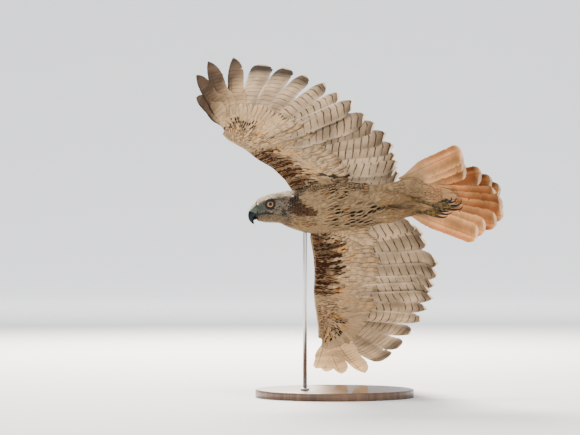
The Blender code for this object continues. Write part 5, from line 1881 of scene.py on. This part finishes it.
def wood_material():
    n = Nodes("stand_walnut")
    x, y, z = n.parts(n.place)
    figure = n.noise(2.2, 5, 0.6, n.vector(x * 6, y * 60, z))
    pores = n.noise(1, 2, vector=n.vector(x * 60, y * 900, z))
    tone = n.mix(n.step(0.32, 0.68, figure), (0.055, 0.026, 0.013, 1), (0.17, 0.085, 0.043, 1))
    tone = n.mix(n.step(0.58, 0.75, pores) * 0.5, tone, (0.025, 0.012, 0.007, 1))
    n.bump(pores, 0.0002, 0.35)
    return n.finish(tone, 0.38, Coat_Weight=0.25)


def steel_material():
    n = Nodes("stand_brushed_steel")
    x, y, z = n.parts(n.place)
    brushed = n.noise(1, 3, vector=n.vector(x * 40, y * 40, z * 2600))
    n.bump(brushed, 0.00005, 0.3)
    tone = n.mix(brushed, (0.48, 0.48, 0.48, 1), (0.66, 0.66, 0.65, 1))
    return n.finish(tone, brushed * 0.16 + 0.22, Metallic=1.0)


# %% Make the stand
base = add_piece("stand_disc", [turned_disc(BASE_RADIUS, 0, BASE_HEIGHT, BASE_SIDES, BASE_BEVEL)],
                 wood_material(), ("stand_base",))
for polygon in base.data.polygons:
    polygon.use_smooth = abs(polygon.normal.z) < FLAT_NORMAL
rod_top = float(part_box("stand_rod")[1].z)
rod = turned_disc(ROD_RADIUS, BASE_HEIGHT - ROD_SUNK, rod_top, ROD_SIDES, ROD_BEVEL, ROD_AT)
collar = turned_disc(COLLAR_RADIUS, BASE_HEIGHT - COLLAR_SUNK, BASE_HEIGHT + COLLAR_HEIGHT,
                     COLLAR_SIDES, COLLAR_BEVEL, ROD_AT)
add_piece("stand_post", [rod, collar], steel_material(), ("stand_rod",))

# %% [markdown]
# ## Floor, backdrop and light
#
# The floor is a wide round sheet whose far rim curves up into a wall, so there is no
# horizon from any side. A profile of a few points, spun once round, makes it. The sun in
# such a picture comes from above and behind and shines through the wings and tail, so
# the largest lamp hangs there. Weaker ones fill the underside from the front, because a
# hawk's belly is lit by the ground below it.

# %% Floor and backdrop
FLAT_REACHES = (0, 1.0, 3.0, 6.0, 8.0)
FLOOR_RADIUS, CURVE_RADIUS, WALL_HEIGHT = FLAT_REACHES[-1], 6.0, 2.0
SPIN_STEPS, CURVE_STEPS = 96, 12


def floor_material():
    n = Nodes("backdrop_paper")
    grain = n.noise(180)
    n.bump(grain, 0.0004, 0.2)
    return n.finish(n.mix(grain, (0.84, 0.85, 0.86, 1), (0.88, 0.89, 0.90, 1)), 0.85)


bowl = bmesh.new()
profile = [(r, 0) for r in FLAT_REACHES]
for step in range(1, CURVE_STEPS + 1):
    angle = step / CURVE_STEPS * math.pi / 2
    profile.append((FLOOR_RADIUS + CURVE_RADIUS * math.sin(angle),
                    CURVE_RADIUS * (1 - math.cos(angle))))
profile.append((FLOOR_RADIUS + CURVE_RADIUS, CURVE_RADIUS + WALL_HEIGHT))
chain = [bowl.verts.new((r, 0, z)) for r, z in profile]
chain_edges = [bowl.edges.new(pair) for pair in zip(chain, chain[1:])]
bmesh.ops.spin(bowl, geom=chain + chain_edges, cent=(0, 0, 0), axis=(0, 0, 1), dvec=(0, 0, 0),
               angle=2 * math.pi, steps=SPIN_STEPS, use_merge=True)
bmesh.ops.remove_doubles(bowl, verts=bowl.verts, dist=0.0001)
bmesh.ops.recalc_face_normals(bowl, faces=bowl.faces)
if sum(f.normal.z for f in bowl.faces) < 0:
    bmesh.ops.reverse_faces(bowl, faces=bowl.faces)
for f in bowl.faces:
    f.smooth = True
floor_mesh = bpy.data.meshes.new("studio_floor")
bowl.to_mesh(floor_mesh)
bowl.free()
floor_mesh.materials.append(floor_material())
floor = bpy.data.objects.new("studio_floor", floor_mesh)
bpy.context.scene.collection.objects.link(floor)
print("floor reaches", FLOOR_RADIUS + CURVE_RADIUS, "m from the stand")


# %% Lamps
def lamp(name, place, aim, size, power, colour):
    data = bpy.data.lights.new(name, "AREA")
    data.shape = "RECTANGLE"
    data.size, data.size_y = size
    data.energy = power
    data.color = colour
    made = bpy.data.objects.new(name, data)
    made.location = place
    made.rotation_euler = (Vector(aim) - Vector(place)).to_track_quat("-Z", "Y").to_euler()
    bpy.context.scene.collection.objects.link(made)


BIRD, WALL = (0.02, 0.05, 0.38), (0.0, 12.5, 1.0)
# Name, place, aim, width and height, power in watts, colour
LAMPS = (
    ("lamp_back", (-0.3, 2.7, 2.1), BIRD, (1.1, 1.1), 420, (1.0, 0.88, 0.74)),
    ("lamp_top", (-0.3, 0.2, 3.0), BIRD, (0.8, 0.8), 70, (1.0, 0.93, 0.84)),
    ("lamp_front", (-1.9, -2.6, 1.9), BIRD, (0.9, 0.9), 70, (1.0, 0.92, 0.84)),
    ("lamp_wall", (0.0, 4.5, 4.2), WALL, (7.0, 1.2), 700, (1.0, 1.0, 1.0)),
    ("lamp_low", (1.4, -2.6, 0.6), BIRD, (1.4, 1.0), 14, (0.96, 0.98, 1.0)),
)
WORLD_COLOUR, WORLD_STRENGTH = (0.93, 0.96, 1.0, 1), 0.75
for row in LAMPS:
    lamp(*row)
world = bpy.data.worlds.new("studio_light")
world.use_nodes = True
backing = world.node_tree.nodes["Background"]
backing.inputs["Color"].default_value = WORLD_COLOUR
backing.inputs["Strength"].default_value = WORLD_STRENGTH
bpy.context.scene.world = world
